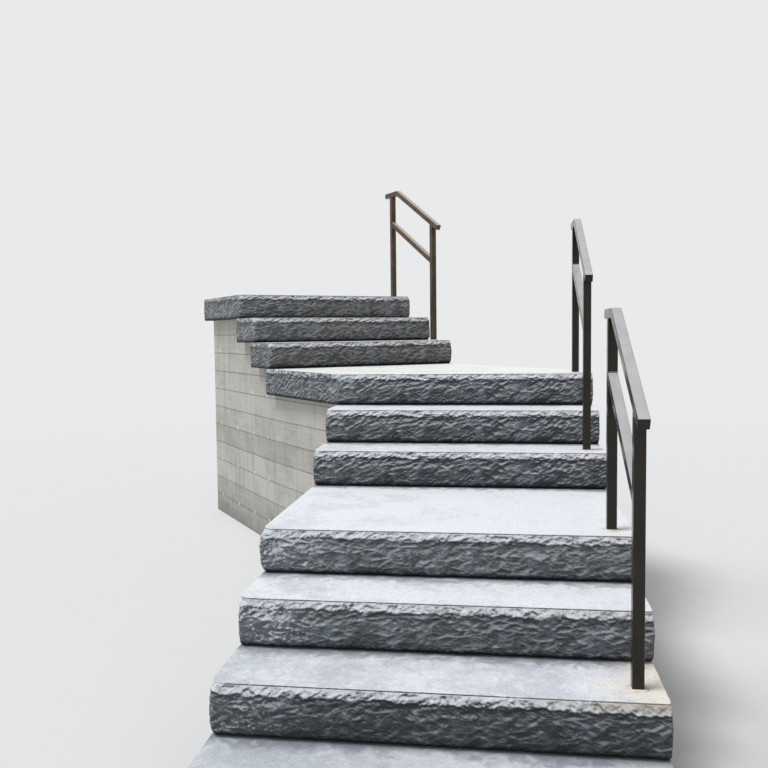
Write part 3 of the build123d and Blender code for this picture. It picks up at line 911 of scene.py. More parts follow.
@dataclass(frozen=True)
class BronzeCoatFinish:
    """Satin polyester powder coat on steel tube, dark bronze.

    To the eye it is a brown-black paint with a soft sheen, a very faint orange-peel
    ripple, and a breath of dust. Its up-facing sides are painted pale: a painted sky
    reflection with some dust.
    """

    name: str = "bronze_powder_coat"
    bronze: str = "#1D1911"
    dusty: str = "#2C261C"
    # Painted sky reflection with some dust, laid on the up-facing sides.
    dust_and_sky_sheen: str = "#C9C8CB"
    peel: float = 1.8 * MM
    roughness: float = 0.20

    def material(self) -> bpy.types.Material:
        """Builds the material.

        Returns:
            The finished material.
        """
        material, tree, shader = new_material(self.name)
        place = add_node(tree, "ShaderNodeTexCoord").outputs["Object"]
        dust = add_node(tree, "ShaderNodeTexNoise", {
            "Vector": place, "Scale": 1 / (90 * MM), "Detail": 5.0, "Roughness": 0.65})
        peel = add_node(tree, "ShaderNodeTexNoise", {
            "Vector": place, "Scale": 1 / self.peel, "Detail": 1.0})
        dusted = add_node(tree, "ShaderNodeMapRange", {
            "Value": dust.outputs["Fac"], "From Min": 0.35, "From Max": 0.75})
        coat = add_node(tree, "ShaderNodeMix", {
            "Factor": dusted, "A": linear(self.bronze), "B": linear(self.dusty)},
            data_type="RGBA")
        # Painted sky reflection with some dust: up-facing sides are paled.
        looks_up = add_node(tree, "ShaderNodeMapRange", {
            "Value": add_node(tree, "ShaderNodeSeparateXYZ", {
                0: add_node(tree, "ShaderNodeTexCoord").outputs["Normal"]}).outputs["Z"],
            "From Min": 0.50, "From Max": 0.84, "To Max": 0.94})
        patchy_dust_and_sheen = add_node(tree, "ShaderNodeMapRange", {
            "Value": dust.outputs["Fac"], "From Min": 0.30, "From Max": 0.70, "To Min": 0.80, "To Max": 1.0})
        colour = add_node(tree, "ShaderNodeMix", {
            "Factor": add_node(tree, "ShaderNodeMath", {
                0: looks_up, 1: patchy_dust_and_sheen}, operation="MULTIPLY"),
            "A": coat.outputs["Result"], "B": linear(self.dust_and_sky_sheen)}, data_type="RGBA")
        rough = add_node(tree, "ShaderNodeMapRange", {
            "Value": dust.outputs["Fac"], "From Min": 0.3, "From Max": 0.7,
            "To Min": self.roughness - 0.04, "To Max": self.roughness + 0.08})
        bump = add_node(tree, "ShaderNodeBump", {
            "Height": peel.outputs["Fac"], "Distance": 0.08 * MM, "Strength": 0.5})
        tree.links.new(colour.outputs["Result"], shader.inputs["Base Color"])
        tree.links.new(rough.outputs["Result"], shader.inputs["Roughness"])
        shader.inputs["Specular IOR Level"].default_value = 0.3
        tree.links.new(bump.outputs["Normal"], shader.inputs["Normal"])
        return material


# Geometry Nodes

@dataclass
class RockRelief:
    """The relief that the rock-textured liner leaves, as a Geometry Nodes tree.

    It reads each point's place on the face: how far along, how far below the arris, which
    way is outward, and how strongly the side is hewn.
    """

    depth: float = 9.0 * MM
    band_height: float = 32 * MM
    band_slope: float = 16 * MM
    raggedness: float = 12 * MM
    lip: float = 4 * MM
    shell_length: float = 120 * MM
    shell_height: float = 66 * MM
    facet_length: float = 96 * MM
    facet_height: float = 52 * MM
    chip_length: float = 44 * MM
    chip_height: float = 24 * MM
    chip_lean: float = math.radians(-12)
    lean: float = math.radians(26)
    tree: Optional[bpy.types.NodeTree] = field(default=None, repr=False)

    def build(self) -> None:
        """Builds the tree once, with the sizes as its named inputs."""
        tree, given, result = new_tree("rock_relief", [
            ("Relief Depth", "NodeSocketFloat", self.depth),
            ("Band Height", "NodeSocketFloat", self.band_height),
            ("Band Slope", "NodeSocketFloat", self.band_slope),
            ("Raggedness", "NodeSocketFloat", self.raggedness),
            ("Lip", "NodeSocketFloat", self.lip),
            ("Liner", "NodeSocketFloat", 0.0),
            ("Boldness", "NodeSocketFloat", 0.0),
            ("Fineness", "NodeSocketFloat", 1.0),
            ("Rock Material", "NodeSocketMaterial", None),
            ("Tread Material", "NodeSocketMaterial", None),
        ])
        along = add_node(tree, "GeometryNodeInputNamedAttribute", {"Name": "along"}, data_type="FLOAT")
        drop = add_node(tree, "GeometryNodeInputNamedAttribute", {"Name": "drop"}, data_type="FLOAT")
        hewn = add_node(tree, "GeometryNodeInputNamedAttribute", {"Name": "hewn"}, data_type="FLOAT")
        outward = add_node(tree, "GeometryNodeInputNamedAttribute", {"Name": "outward"},
                           data_type="FLOAT_VECTOR")
        face = add_node(tree, "ShaderNodeCombineXYZ", {
            "X": add_node(tree, "ShaderNodeMath", {0: given.outputs["Liner"], 1: along}, operation="ADD"),
            "Y": add_node(tree, "ShaderNodeMath", {0: drop, 1: -1.0}, operation="MULTIPLY")})
        drift = add_node(tree, "ShaderNodeTexNoise", {
            "Vector": face, "Scale": 1 / (75 * MM), "Detail": 2.0})
        drift_mid = add_node(tree, "ShaderNodeVectorMath", {
            0: drift.outputs["Color"], 1: (0.5, 0.5, 0.5)}, operation="SUBTRACT")
        warped = add_node(tree, "ShaderNodeVectorMath", {
            0: add_node(tree, "ShaderNodeVectorMath", {
                0: drift_mid, 1: (30 * MM, 20 * MM, 0.0), 2: face}, operation="MULTIPLY_ADD"),
            "Scale": given.outputs["Fineness"]}, operation="SCALE")
        shells, _ = self._cells(tree, warped, RockGrain(self.shell_length, self.shell_height, self.lean))
        _, facets = self._cells(tree, warped, RockGrain(self.facet_length, self.facet_height, self.lean))
        chip_bowls, chips = self._cells(
            tree, warped, RockGrain(self.chip_length, self.chip_height, self.chip_lean))
        ledges, creases = LEDGES.ledges(tree, warped), CREASES.ledges(tree, warped)
        folds, scoops = FOLDS.folds(tree, warped)[0], CHIPS.chips(tree, warped)
        slashes = add_node(tree, "ShaderNodeMath", {
            0: SLASHES.folds(tree, warped)[0], 1: given.outputs["Boldness"]}, operation="MULTIPLY")
        fine = add_node(tree, "ShaderNodeTexNoise", {
            "Vector": warped, "Scale": 1 / (12 * MM), "Detail": 2.0, "Roughness": 0.55})
        slow = add_node(tree, "ShaderNodeTexNoise", {
            "Vector": face, "Scale": 1 / (240 * MM), "Detail": 1.0})
        near_band = add_node(tree, "ShaderNodeMapRange", {
            "Value": drop, "From Min": 62 * MM, "From Max": 30 * MM, "To Min": 0.12, "To Max": 1.0},
            interpolation_type="SMOOTHSTEP")
        chipped = add_node(tree, "ShaderNodeMath", {
            0: add_node(tree, "ShaderNodeMath", {0: chip_bowls, 1: chips}, operation="ADD"),
            1: near_band}, operation="MULTIPLY")
        total = None
        for part, share, middle in (
            (shells, 0.40, 0.0), (facets, 0.40, 0.0), (chipped, 0.26, 0.0), (ledges, 0.34, 0.45),
            (creases, 0.24, 0.45), (folds, 0.34, 0.0), (slashes, 0.34, 0.0), (scoops, 0.52, 0.3),
            (fine, 0.26, 0.5), (slow, 0.30, 0.5),
        ):
            term = add_node(tree, "ShaderNodeMath", {
                0: part, 1: share, 2: -share * middle}, operation="MULTIPLY_ADD")
            total = term if total is None else add_node(tree, "ShaderNodeMath", {0: total, 1: term}, operation="ADD")
        fade_top = add_node(tree, "ShaderNodeMapRange", {
            "Value": drop, "From Min": 4 * MM, "From Max": 15 * MM, "To Min": 0.0},
            interpolation_type="SMOOTHSTEP")
        fade_foot = add_node(tree, "ShaderNodeMapRange", {
            "Value": drop, "From Min": 178 * MM, "From Max": 160 * MM, "To Min": 0.35})
        calm_band = add_node(tree, "ShaderNodeMapRange", {
            "Value": drop, "From Min": 14 * MM, "From Max": 46 * MM, "To Min": 0.72})
        strength = add_node(tree, "ShaderNodeMath", {
            0: add_node(tree, "ShaderNodeMath", {0: hewn, 1: calm_band}, operation="MULTIPLY"),
            1: add_node(tree, "ShaderNodeMath", {
                0: fade_top, 1: fade_foot}, operation="MULTIPLY")}, operation="MULTIPLY")
        relief_out = add_node(tree, "ShaderNodeMath", {
            0: add_node(tree, "ShaderNodeMath", {
                0: total, 1: given.outputs["Relief Depth"]}, operation="MULTIPLY"),
            1: strength}, operation="MULTIPLY")
        ragged = add_node(tree, "ShaderNodeTexNoise", {
            "Vector": face, "Scale": 1 / (48 * MM), "Detail": 4.0, "Roughness": 0.72})
        ragged_mid = add_node(tree, "ShaderNodeMath", {
            0: ragged.outputs["Fac"], 1: 4.0, 2: -2.0}, operation="MULTIPLY_ADD")
        shifted = add_node(tree, "ShaderNodeMath", {
            0: add_node(tree, "ShaderNodeMath", {
                0: ragged_mid, 1: given.outputs["Raggedness"]}, operation="MULTIPLY"),
            1: drop}, operation="ADD")
        slope_wanted = add_node(tree, "ShaderNodeMapRange", {
            "Value": shifted, "From Min": 6 * MM, "From Max": given.outputs["Band Height"],
            "To Max": given.outputs["Band Slope"]})
        slope_had = add_node(tree, "ShaderNodeMapRange", {
            "Value": drop, "From Min": 6 * MM, "From Max": given.outputs["Band Height"],
            "To Max": given.outputs["Band Slope"]})
        past_lip = add_node(tree, "ShaderNodeMath", {
            0: add_node(tree, "ShaderNodeMapRange", {
                "Value": add_node(tree, "ShaderNodeMath", {
                    0: shifted, 1: given.outputs["Band Height"]}, operation="SUBTRACT"),
                "From Min": 0.0, "From Max": 5 * MM}),
            1: add_node(tree, "ShaderNodeMapRange", {
                "Value": drop, "From Min": 80 * MM, "From Max": 50 * MM})}, operation="MULTIPLY")
        cut_back = add_node(tree, "ShaderNodeMath", {
            0: past_lip, 1: given.outputs["Lip"]}, operation="MULTIPLY")
        band_out = add_node(tree, "ShaderNodeMath", {
            0: add_node(tree, "ShaderNodeMath", {
                0: add_node(tree, "ShaderNodeMath", {
                    0: slope_wanted, 1: slope_had}, operation="SUBTRACT"),
                1: cut_back}, operation="SUBTRACT"),
            1: add_node(tree, "ShaderNodeMath", {
                0: hewn, 1: fade_top}, operation="MULTIPLY")}, operation="MULTIPLY")
        nicks = add_node(tree, "ShaderNodeTexNoise", {
            "Vector": face, "Scale": 1 / (22 * MM), "Detail": 2.0})
        nicked = add_node(tree, "ShaderNodeMapRange", {
            "Value": nicks.outputs["Fac"], "From Min": 0.60, "From Max": 0.76,
            "To Max": -3.5 * MM})
        at_arris = add_node(tree, "ShaderNodeMapRange", {
            "Value": drop, "From Min": 9 * MM, "From Max": 3 * MM})
        at_corner = add_node(tree, "ShaderNodeMapRange", {
            "Value": add_node(tree, "ShaderNodeMath", {0: along}, operation="ABSOLUTE"),
            "From Min": 90 * MM, "From Max": 20 * MM, "To Min": 1.0, "To Max": 2.4})
        nick_out = add_node(tree, "ShaderNodeMath", {
            0: add_node(tree, "ShaderNodeMath", {0: nicked, 1: at_arris}, operation="MULTIPLY"),
            1: add_node(tree, "ShaderNodeMath", {0: hewn, 1: at_corner}, operation="MULTIPLY")},
            operation="MULTIPLY")
        push = add_node(tree, "ShaderNodeMath", {
            0: add_node(tree, "ShaderNodeMath", {0: relief_out, 1: band_out}, operation="ADD"),
            1: nick_out}, operation="ADD")
        moved = add_node(tree, "GeometryNodeSetPosition", {
            "Geometry": given.outputs["Geometry"],
            "Offset": add_node(tree, "ShaderNodeVectorMath", {
                0: outward, "Scale": push}, operation="SCALE")})
        crest = add_node(tree, "ShaderNodeMapRange", {
            "Value": total, "From Min": -0.6, "From Max": 0.6})
        kept = moved
        up = add_node(tree, "ShaderNodeSeparateXYZ", {0: add_node(tree, "GeometryNodeInputNormal")})
        in_band = add_node(tree, "ShaderNodeMapRange", {
            "Value": shifted, "From Min": given.outputs["Band Height"], "From Max": 6 * MM}, clamp=False)
        for label, value in (("relief", crest), ("band", in_band), ("skyward", up.outputs["Z"])):
            kept = add_node(tree, "GeometryNodeStoreNamedAttribute", {
                "Geometry": kept, "Name": label, "Value": value}, data_type="FLOAT", domain="POINT")
        kept = add_node(tree, "GeometryNodeStoreNamedAttribute", {
            "Geometry": kept, "Name": "face_place", "Value": warped},
            data_type="FLOAT_VECTOR", domain="POINT")
        real = add_node(tree, "GeometryNodeRealizeInstances", {"Geometry": kept})
        rocky = add_node(tree, "GeometryNodeSetMaterial", {
            "Geometry": real, "Material": given.outputs["Rock Material"]})
        on_top = add_node(tree, "GeometryNodeInputNamedAttribute", {"Name": "on_top"},
                          data_type="BOOLEAN")
        dressed = add_node(tree, "GeometryNodeSetMaterial", {
            "Geometry": rocky, "Selection": on_top,
            "Material": given.outputs["Tread Material"]})
        tree.links.new(dressed.outputs["Geometry"], result.inputs["Geometry"])
        self.tree = tree

    @staticmethod
    def _cells(tree: bpy.types.NodeTree, place: bpy.types.Node, grid: RockGrain) -> tuple[bpy.types.Node, bpy.types.Node]:
        """Adds the two shapes of a broken cell: a shell-like bowl, and a facet that tips its own way.

        Args:
            tree: The tree that gets them.
            place: The node that gives the place on the face.
            grid: Size and slant of the cells.

        Returns:
            The nodes of the bowls and of the facets, each about minus a half to a half.
        """
        scaled = grid.cells(tree, place)
        cells = add_node(tree, "ShaderNodeTexVoronoi", {
            "Vector": scaled, "Scale": 1.0}, voronoi_dimensions="2D")
        bowl = add_node(tree, "ShaderNodeMath", {
            0: add_node(tree, "ShaderNodeMath", {
                0: cells.outputs["Distance"], 1: 2.0}, operation="POWER"),
            1: 1.7, 2: -0.4}, operation="MULTIPLY_ADD")
        from_centre = add_node(tree, "ShaderNodeVectorMath", {
            0: scaled, 1: cells.outputs["Position"]}, operation="SUBTRACT")
        tip = add_node(tree, "ShaderNodeVectorMath", {
            0: cells.outputs["Color"], 1: (0.5, 0.5, 0.5)}, operation="SUBTRACT")
        tipped = add_node(tree, "ShaderNodeVectorMath", {0: from_centre, 1: tip},
                          operation="DOT_PRODUCT")
        facet = add_node(tree, "ShaderNodeMath", {
            0: tipped.outputs["Value"], 1: 1.6}, operation="MULTIPLY")
        return bowl, facet


@dataclass
class WeldBead:
    """A fillet weld: overlapping ripples set along a line, as a Geometry Nodes tree."""

    ripple_pitch: float = 2.4 * MM
    ripple_radius: float = 2.6 * MM
    tree: Optional[bpy.types.NodeTree] = field(default=None, repr=False)

    def build(self) -> None:
        """Builds the tree once, with the sizes as its named inputs."""
        tree, given, result = new_tree("weld_bead", [
            ("Ripple Pitch", "NodeSocketFloat", self.ripple_pitch),
            ("Ripple Radius", "NodeSocketFloat", self.ripple_radius),
            ("Coat", "NodeSocketMaterial", None),
        ])
        line = add_node(tree, "GeometryNodeMeshToCurve", {"Mesh": given.outputs["Geometry"]})
        spots = add_node(tree, "GeometryNodeCurveToPoints", {
            "Curve": line, "Length": given.outputs["Ripple Pitch"]}, mode="LENGTH")
        ripple = add_node(tree, "GeometryNodeMeshUVSphere", {
            "Segments": 8, "Rings": 4, "Radius": given.outputs["Ripple Radius"]})
        uneven = add_node(tree, "FunctionNodeRandomValue", {
            "Min": (0.86, 0.86, 0.7), "Max": (1.12, 1.12, 0.9), "Seed": 11},
            data_type="FLOAT_VECTOR")
        ripples = add_node(tree, "GeometryNodeInstanceOnPoints", {
            "Points": spots.outputs["Points"], "Instance": ripple.outputs["Mesh"],
            "Rotation": spots.outputs["Rotation"], "Scale": uneven.outputs["Value"]})
        real = add_node(tree, "GeometryNodeRealizeInstances", {"Geometry": ripples})
        smooth = add_node(tree, "GeometryNodeSetShadeSmooth", {"Geometry": real})
        coated = add_node(tree, "GeometryNodeSetMaterial", {
            "Geometry": smooth, "Material": given.outputs["Coat"]})
        tree.links.new(coated.outputs["Geometry"], result.inputs["Geometry"])
        self.tree = tree


@dataclass
class TiePlugs:
    """Round plugs that fill the shutter ties' holes, set on points by Geometry Nodes."""

    radius: float = 13 * MM
    stand: float = 1.2 * MM
    tree: Optional[bpy.types.NodeTree] = field(default=None, repr=False)

    def build(self) -> None:
        """Builds the tree once, with the sizes as its named inputs."""
        tree, given, result = new_tree("tie_plugs", [
            ("Plug Radius", "NodeSocketFloat", self.radius),
            ("Plug Stand", "NodeSocketFloat", self.stand),
            ("Mortar", "NodeSocketMaterial", None),
        ])
        facing = add_node(tree, "GeometryNodeInputNamedAttribute", {"Name": "outward"},
                          data_type="FLOAT_VECTOR")
        plug = add_node(tree, "GeometryNodeMeshCone", {
            "Vertices": 18, "Radius Top": add_node(tree, "ShaderNodeMath", {
                0: given.outputs["Plug Radius"], 1: 0.82}, operation="MULTIPLY"),
            "Radius Bottom": given.outputs["Plug Radius"],
            "Depth": given.outputs["Plug Stand"]})
        turned = add_node(tree, "FunctionNodeAlignRotationToVector", {"Vector": facing}, axis="Z")
        plugs = add_node(tree, "GeometryNodeInstanceOnPoints", {
            "Points": given.outputs["Geometry"], "Instance": plug.outputs["Mesh"],
            "Rotation": turned})
        real = add_node(tree, "GeometryNodeRealizeInstances", {"Geometry": plugs})
        dressed = add_node(tree, "GeometryNodeSetMaterial", {
            "Geometry": real, "Material": given.outputs["Mortar"]})
        tree.links.new(dressed.outputs["Geometry"], result.inputs["Geometry"])
        self.tree = tree


@dataclass
class BoardFins:
    """Thin fins where mortar seeped between the shutter boards, run along lines by Geometry Nodes."""

    stand: float = 1.8 * MM
    tree: Optional[bpy.types.NodeTree] = field(default=None, repr=False)

    def build(self) -> None:
        """Builds the tree once, with the size as its named input."""
        tree, given, result = new_tree("board_fins", [
            ("Fin Stand", "NodeSocketFloat", self.stand),
            ("Concrete", "NodeSocketMaterial", None),
        ])
        line = add_node(tree, "GeometryNodeMeshToCurve", {"Mesh": given.outputs["Geometry"]})
        section = add_node(tree, "GeometryNodeCurvePrimitiveCircle", {
            "Resolution": 4, "Radius": given.outputs["Fin Stand"]})
        fins = add_node(tree, "GeometryNodeCurveToMesh", {
            "Curve": line, "Profile Curve": section, "Fill Caps": True})
        flat = add_node(tree, "GeometryNodeSetShadeSmooth", {"Geometry": fins, "Shade Smooth": False})
        real = add_node(tree, "GeometryNodeRealizeInstances", {"Geometry": flat})
        dressed = add_node(tree, "GeometryNodeSetMaterial", {
            "Geometry": real, "Material": given.outputs["Concrete"]})
        tree.links.new(dressed.outputs["Geometry"], result.inputs["Geometry"])
        self.tree = tree


# Steps

@dataclass
class RockFacedStep:
    """One slab: a smooth tread over a rock-faced front and ends."""

    number: int
    plan: StairPlan
    spacing: float = 3.3 * MM
    end_spacing: float = 7.0 * MM
    row_pitch: float = 3.4 * MM
    end_share: float = 0.15
    end_hewn: float = 0.4
    corner_break: float = 52 * MM
    corner_nick: float = 14 * MM
    core_radius: float = 38 * MM
    core_depth: float = 120 * MM
    arc_points: int = 10

    def name(self) -> str:
        """The CAD node that the slab stands for."""
        return f"step_{self.number:02d}"

    def profile(self, drop: float) -> float:
        """How far the front stands outside its arris, at a depth below it.

        Args:
            drop: Metres below the tread.

        Returns:
            Metres outward.
        """
        shape = ((0.0, -1.0), (1.2, 0.0), (3.0, 0.0), (4.4, -1.0), (6.0, 0.6), (34.0, 16.6),
                 (44.0, 19.0), (89.0, 20.0), (140.0, 16.0), (156.0, 12.0), (168.0, 4.0), (178.0, -9.0))
        depth = drop / MM
        for (near, near_out), (far, far_out) in zip(shape, shape[1:]):
            if depth <= far:
                return MM * (near_out + (far_out - near_out) * (depth - near) / (far - near))
        return MM * shape[-1][1]

    def broken(self, drop: float) -> float:
        """Share of the corner break at a depth: widest at the tread, least at the belly."""
        depth = drop / MM
        if depth < 34:
            return 1.0 - 0.4 * depth / 34
        return max(0.45, 0.6 - 0.15 * (depth - 34) / 55)

    def drops(self) -> list[float]:
        """Depths of the rows of points, close together under the arris."""
        near = [0.0, 1.2 * MM, 3.0 * MM, 4.4 * MM, 6.0 * MM, 9.0 * MM]
        rows = round((self.plan.riser - near[-1] - 4 * MM) / self.row_pitch)
        pitch = (self.plan.riser - near[-1] - 4 * MM) / rows
        return near + [near[-1] + pitch * (i + 1) for i in range(rows)] + [self.plan.riser]

    def ring(self, offsets: Sequence[float], cuts: Sequence[float]) -> list[Vector]:
        """Outline of the slab at one depth, with each corner rounded off.

        Args:
            offsets: How far each side stands outside its arris, in metres.
            cuts: How far back from each corner its rounding starts.

        Returns:
            The points, anticlockwise from just before the left front corner.
        """
        corners = self.plan.corners(self.number)
        count = len(corners)
        sides = [(corners[(i + 1) % count] - corners[i]).normalized() for i in range(count)]
        outs = [Vector((side.y, -side.x)) for side in sides]
        turns = []
        for i in range(count):
            start = corners[i] + outs[i - 1] * offsets[i - 1]
            gap = corners[i] + outs[i] * offsets[i] - start
            cross = sides[i - 1].x * sides[i].y - sides[i - 1].y * sides[i].x
            turns.append(start + sides[i - 1] * ((gap.x * sides[i].y - gap.y * sides[i].x) / cross))
        points = []
        for i in range(count):
            follows = (i + 1) % count
            enter = turns[i] - sides[i - 1] * cuts[i]
            leave = turns[i] + sides[i] * cuts[i]
            arc = self.arc_points if i < 2 else 2
            for k in range(arc):
                t = k / arc
                points.append(enter * (1 - t) ** 2 + turns[i] * 2 * t * (1 - t) + leave * t * t)
            end = turns[follows] - sides[i] * cuts[follows]
            run = self.side_points(i)
            points.extend(leave.lerp(end, k / run) for k in range(run))
        return points

    def side_points(self, side: int) -> int:
        """Number of points along a side: sparse on the hidden rear."""
        corners = self.plan.corners(self.number)
        length = (corners[(side + 1) % len(corners)] - corners[side]).length
        if side == len(corners) - 2:
            return max(4, round(length / (60 * MM)))
        return round(length / (self.end_spacing if side else self.spacing))

    def strengths(self, values: Sequence[float]) -> list[float]:
        """One value for each point of a ring, blended round the corners.

        Args:
            values: The value of each side.

        Returns:
            A value for each point, in the ring's order.
        """
        spread = []
        for i, value in enumerate(values):
            arc = self.arc_points if i < 2 else 2
            before = values[i - 1]
            spread.extend(before + (value - before) * k / arc for k in range(arc))
            spread.extend([value] * self.side_points(i))
        return spread

    def build(self, relief: RockRelief, rock: bpy.types.Material, tread: bpy.types.Material) -> bpy.types.Object:
        """Builds the slab, runs the relief over it and dresses it.

        Args:
            relief: The built relief tree.
            rock: Finish of the front and ends.
            tread: Finish of the tread.

        Returns:
            The finished piece, riding on the root body.
        """
        corner_count = len(self.plan.corners(self.number))
        ends = [self.end_share] * (corner_count - 3)
        left_share = 0.6 if self.number == 4 else self.end_share
        shares = [1.0, *ends, 0.0, left_share]
        hewn_sides = [1.0] + [self.end_hewn] * len(ends) + [0.0, self.end_hewn]
        top = self.plan.tread(self.number)
        rings = []
        drops = self.drops()
        for drop in drops:
            cut = self.broken(drop)
            cuts = [cut * self.corner_break, cut * self.corner_nick] + [2 * MM] * (corner_count - 2)
            out = self.profile(drop)
            rings.append(self.ring([out * share for share in shares], cuts))
        size = len(rings[0])
        points = [(p.x, p.y, top - drop) for ring, drop in zip(rings, drops) for p in ring]
        faces = [
            (row * size + i, (row + 1) * size + i, (row + 1) * size + (i + 1) % size, row * size + (i + 1) % size)
            for row in range(len(drops) - 1) for i in range(size)
        ]
        places = self.places_along(rings[8])
        hewn = self.strengths(hewn_sides)
        along = places * len(drops)
        hewn_all = hewn * len(drops)
        drop_all = [drop for drop in drops for _ in range(size)]
        outward = [v for ring in rings for v in self.outward(ring)]
        loops = [list(range(size))]
        if self.number in self.plan.posts():
            loops.append(self.add_core(points, faces, top))
        extra = len(points) - len(along)
        along += [0.0] * extra
        hewn_all += [0.0] * extra
        drop_all += [0.0] * extra
        outward += [(0.0, 0.0, 0.0)] * extra
        top_start = len(faces)
        faces += self.fill(points, loops, up=True)
        top_end = len(faces)
        base = (len(drops) - 1) * size
        faces += self.fill(points, [list(range(base, base + size))], up=False)
        piece = new_piece(self.name() + "_rock_faced", points, faces)
        mesh = piece.data
        give_attribute(mesh, "along", along)
        give_attribute(mesh, "hewn", hewn_all)
        give_attribute(mesh, "drop", drop_all)
        give_attribute(mesh, "outward", outward, "FLOAT_VECTOR")
        give_attribute(mesh, "tread_place", [
            self.plan.tread_places(self.number, Vector(p[:2])) for p in points], "FLOAT_VECTOR")
        give_attribute(mesh, "wear_and_shade", [self.wear_and_shade()] * len(points))
        give_attribute(mesh, "face_tone_and_light", [self.face_tone_and_light()] * len(points), "FLOAT_VECTOR")
        give_attribute(mesh, "bold", [self.boldness()] * len(points))
        crisp = 0.68 if self.number == 2 else 1.0
        give_attribute(mesh, "crisp", [crisp] * len(points))
        give_attribute(mesh, "tea", [1.0 if self.number == 2 else 0.25] * len(points))
        give_attribute(mesh, "bloom", [{2: 0.5, 3: 1.0, 4: 0.85}.get(self.number, 0.2)] * len(points))
        on_top = mesh.attributes.new("on_top", "BOOLEAN", "FACE")
        on_top.data.foreach_set("value", [top_start <= i < top_end for i in range(len(faces))])
        mesh.polygons.foreach_set("use_smooth", [i < (len(drops) - 1) * size for i in range(len(faces))])
        grow(piece, relief.tree, {
            "Liner": self.liner(), "Boldness": self.boldness(), "Fineness": 1.16 if self.number < 5 else 1.0,
            "Relief Depth": relief.depth * 0.95 * crisp, "Rock Material": rock, "Tread Material": tread})
        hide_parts(self.name())
        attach(piece, "root")
        return piece

    def liner(self) -> float:
        """Which cast of the liner the step was made with: the middle flight's three share one."""
        return {5: 5.0, 6: 5.0, 7: 5.0}.get(self.number, float(self.number)) * 3.7

    def boldness(self) -> float:
        """How strong the long slanting folds are: the lower flight's cast has hardly any."""
        return {5: 0.9, 6: 1.0, 7: 1.0}.get(self.number, 0.5 if self.number > 7 else 0.12)

    def wear_and_shade(self) -> float:
        """How pale the tread is, from 0 to 1, least at the foot: partly wear by feet and weather, partly painted shade
        that darkens the lower steps.
        """
        return {1: 0.18, 2: 0.58, 3: 0.94, 4: 1.06, 5: 0.90, 6: 0.98, 7: 1.16}.get(self.number, 1.14)

    def face_tone_and_light(self) -> tuple[float, float, float]:
        """How pale and warm the face is: paler higher up and warmer in the sunny flight, partly the stain's own tone
        and partly painted light and shade.
        """
        pale = {1: 0.8, 2: 0.76, 3: 1.48, 4: 1.86, 5: 1.02, 6: 1.24, 7: 1.34, 8: 1.44}.get(self.number, 1.72)
        return (pale, pale * 0.97, pale * 0.90) if self.number > 7 else (pale, pale, pale)

    def places_along(self, ring: Sequence[Vector]) -> list[float]:
        """Metres along the face from the left front corner, with the left end negative.

        Args:
            ring: The outline that is measured.

        Returns:
            A distance for each of its points.
        """
        travelled = [0.0]
        for here, there in zip(ring, ring[1:]):
            travelled.append(travelled[-1] + (there - here).length)
        start = travelled[self.arc_points // 2]
        whole = travelled[-1] + (ring[0] - ring[-1]).length
        last_side = len(ring) - self.side_points(len(self.plan.corners(self.number)) - 1)
        return [
            distance - start - (whole if i >= last_side else 0.0)
            for i, distance in enumerate(travelled)
        ]

    @staticmethod
    def outward(ring: Sequence[Vector]) -> list[tuple[float, float, float]]:
        """Level direction out of the slab at each point of an outline."""
        count = len(ring)
        found = []
        for i in range(count):
            run = (ring[(i + 1) % count] - ring[i - 1]).normalized()
            found.append((run.y, -run.x, 0.0))
        return found

    def add_core(self, points: list, faces: list, top: float) -> list[int]:
        """Adds the wall and floor of the cored hole for a post.

        Args:
            points: The slab's points, which grow.
            faces: The slab's faces, which grow.
            top: Height of the tread.

        Returns:
            The point numbers of the hole's rim.
        """
        centre = self.plan.post_centre(self.number)
        count = 40
        first = len(points)
        for depth in (0.0, self.core_depth):
            for i in range(count):
                angle = 2 * math.pi * i / count
                points.append((
                    centre.x + self.core_radius * math.cos(angle),
                    centre.y + self.core_radius * math.sin(angle), top - depth))
        for i in range(count):
            j = (i + 1) % count
            faces.append((first + i, first + j, first + count + j, first + count + i))
        faces.append(tuple(first + count + i for i in range(count)))
        return [first + i for i in range(count)]

    @staticmethod
    def fill(points: Sequence, loops: Sequence[Sequence[int]], up: bool) -> list[tuple[int, int, int]]:
        """Triangles that fill a level outline, round any holes in it.

        Args:
            points: All the points of the mesh.
            loops: Point numbers of the outline, and of each hole.
            up: Whether the fill looks up.

        Returns:
            The triangles.
        """
        flat = [index for loop in loops for index in loop]
        edges = []
        for loop in loops:
            start = len(edges)
            edges += [(start + i, start + (i + 1) % len(loop)) for i in range(len(loop))]
        inside_edges = 1
        _, _, found, origins, _, _ = delaunay_2d_cdt(
            [Vector(points[i][:2]) for i in flat], edges, [], inside_edges, 1e-7)
        triangles = []
        for face in found:
            if min(origins[n][0] for n in face) >= len(loops[0]):
                continue  # wholly on a hole's rim, so inside the hole
            i, j, k = (flat[origins[n][0]] for n in face)
            first, second, third = (Vector(points[n]) for n in (i, j, k))
            area = (second - first).cross(third - first).z
            triangles.append((i, j, k) if (area > 0) == up else (i, k, j))
        return triangles


# Foundation

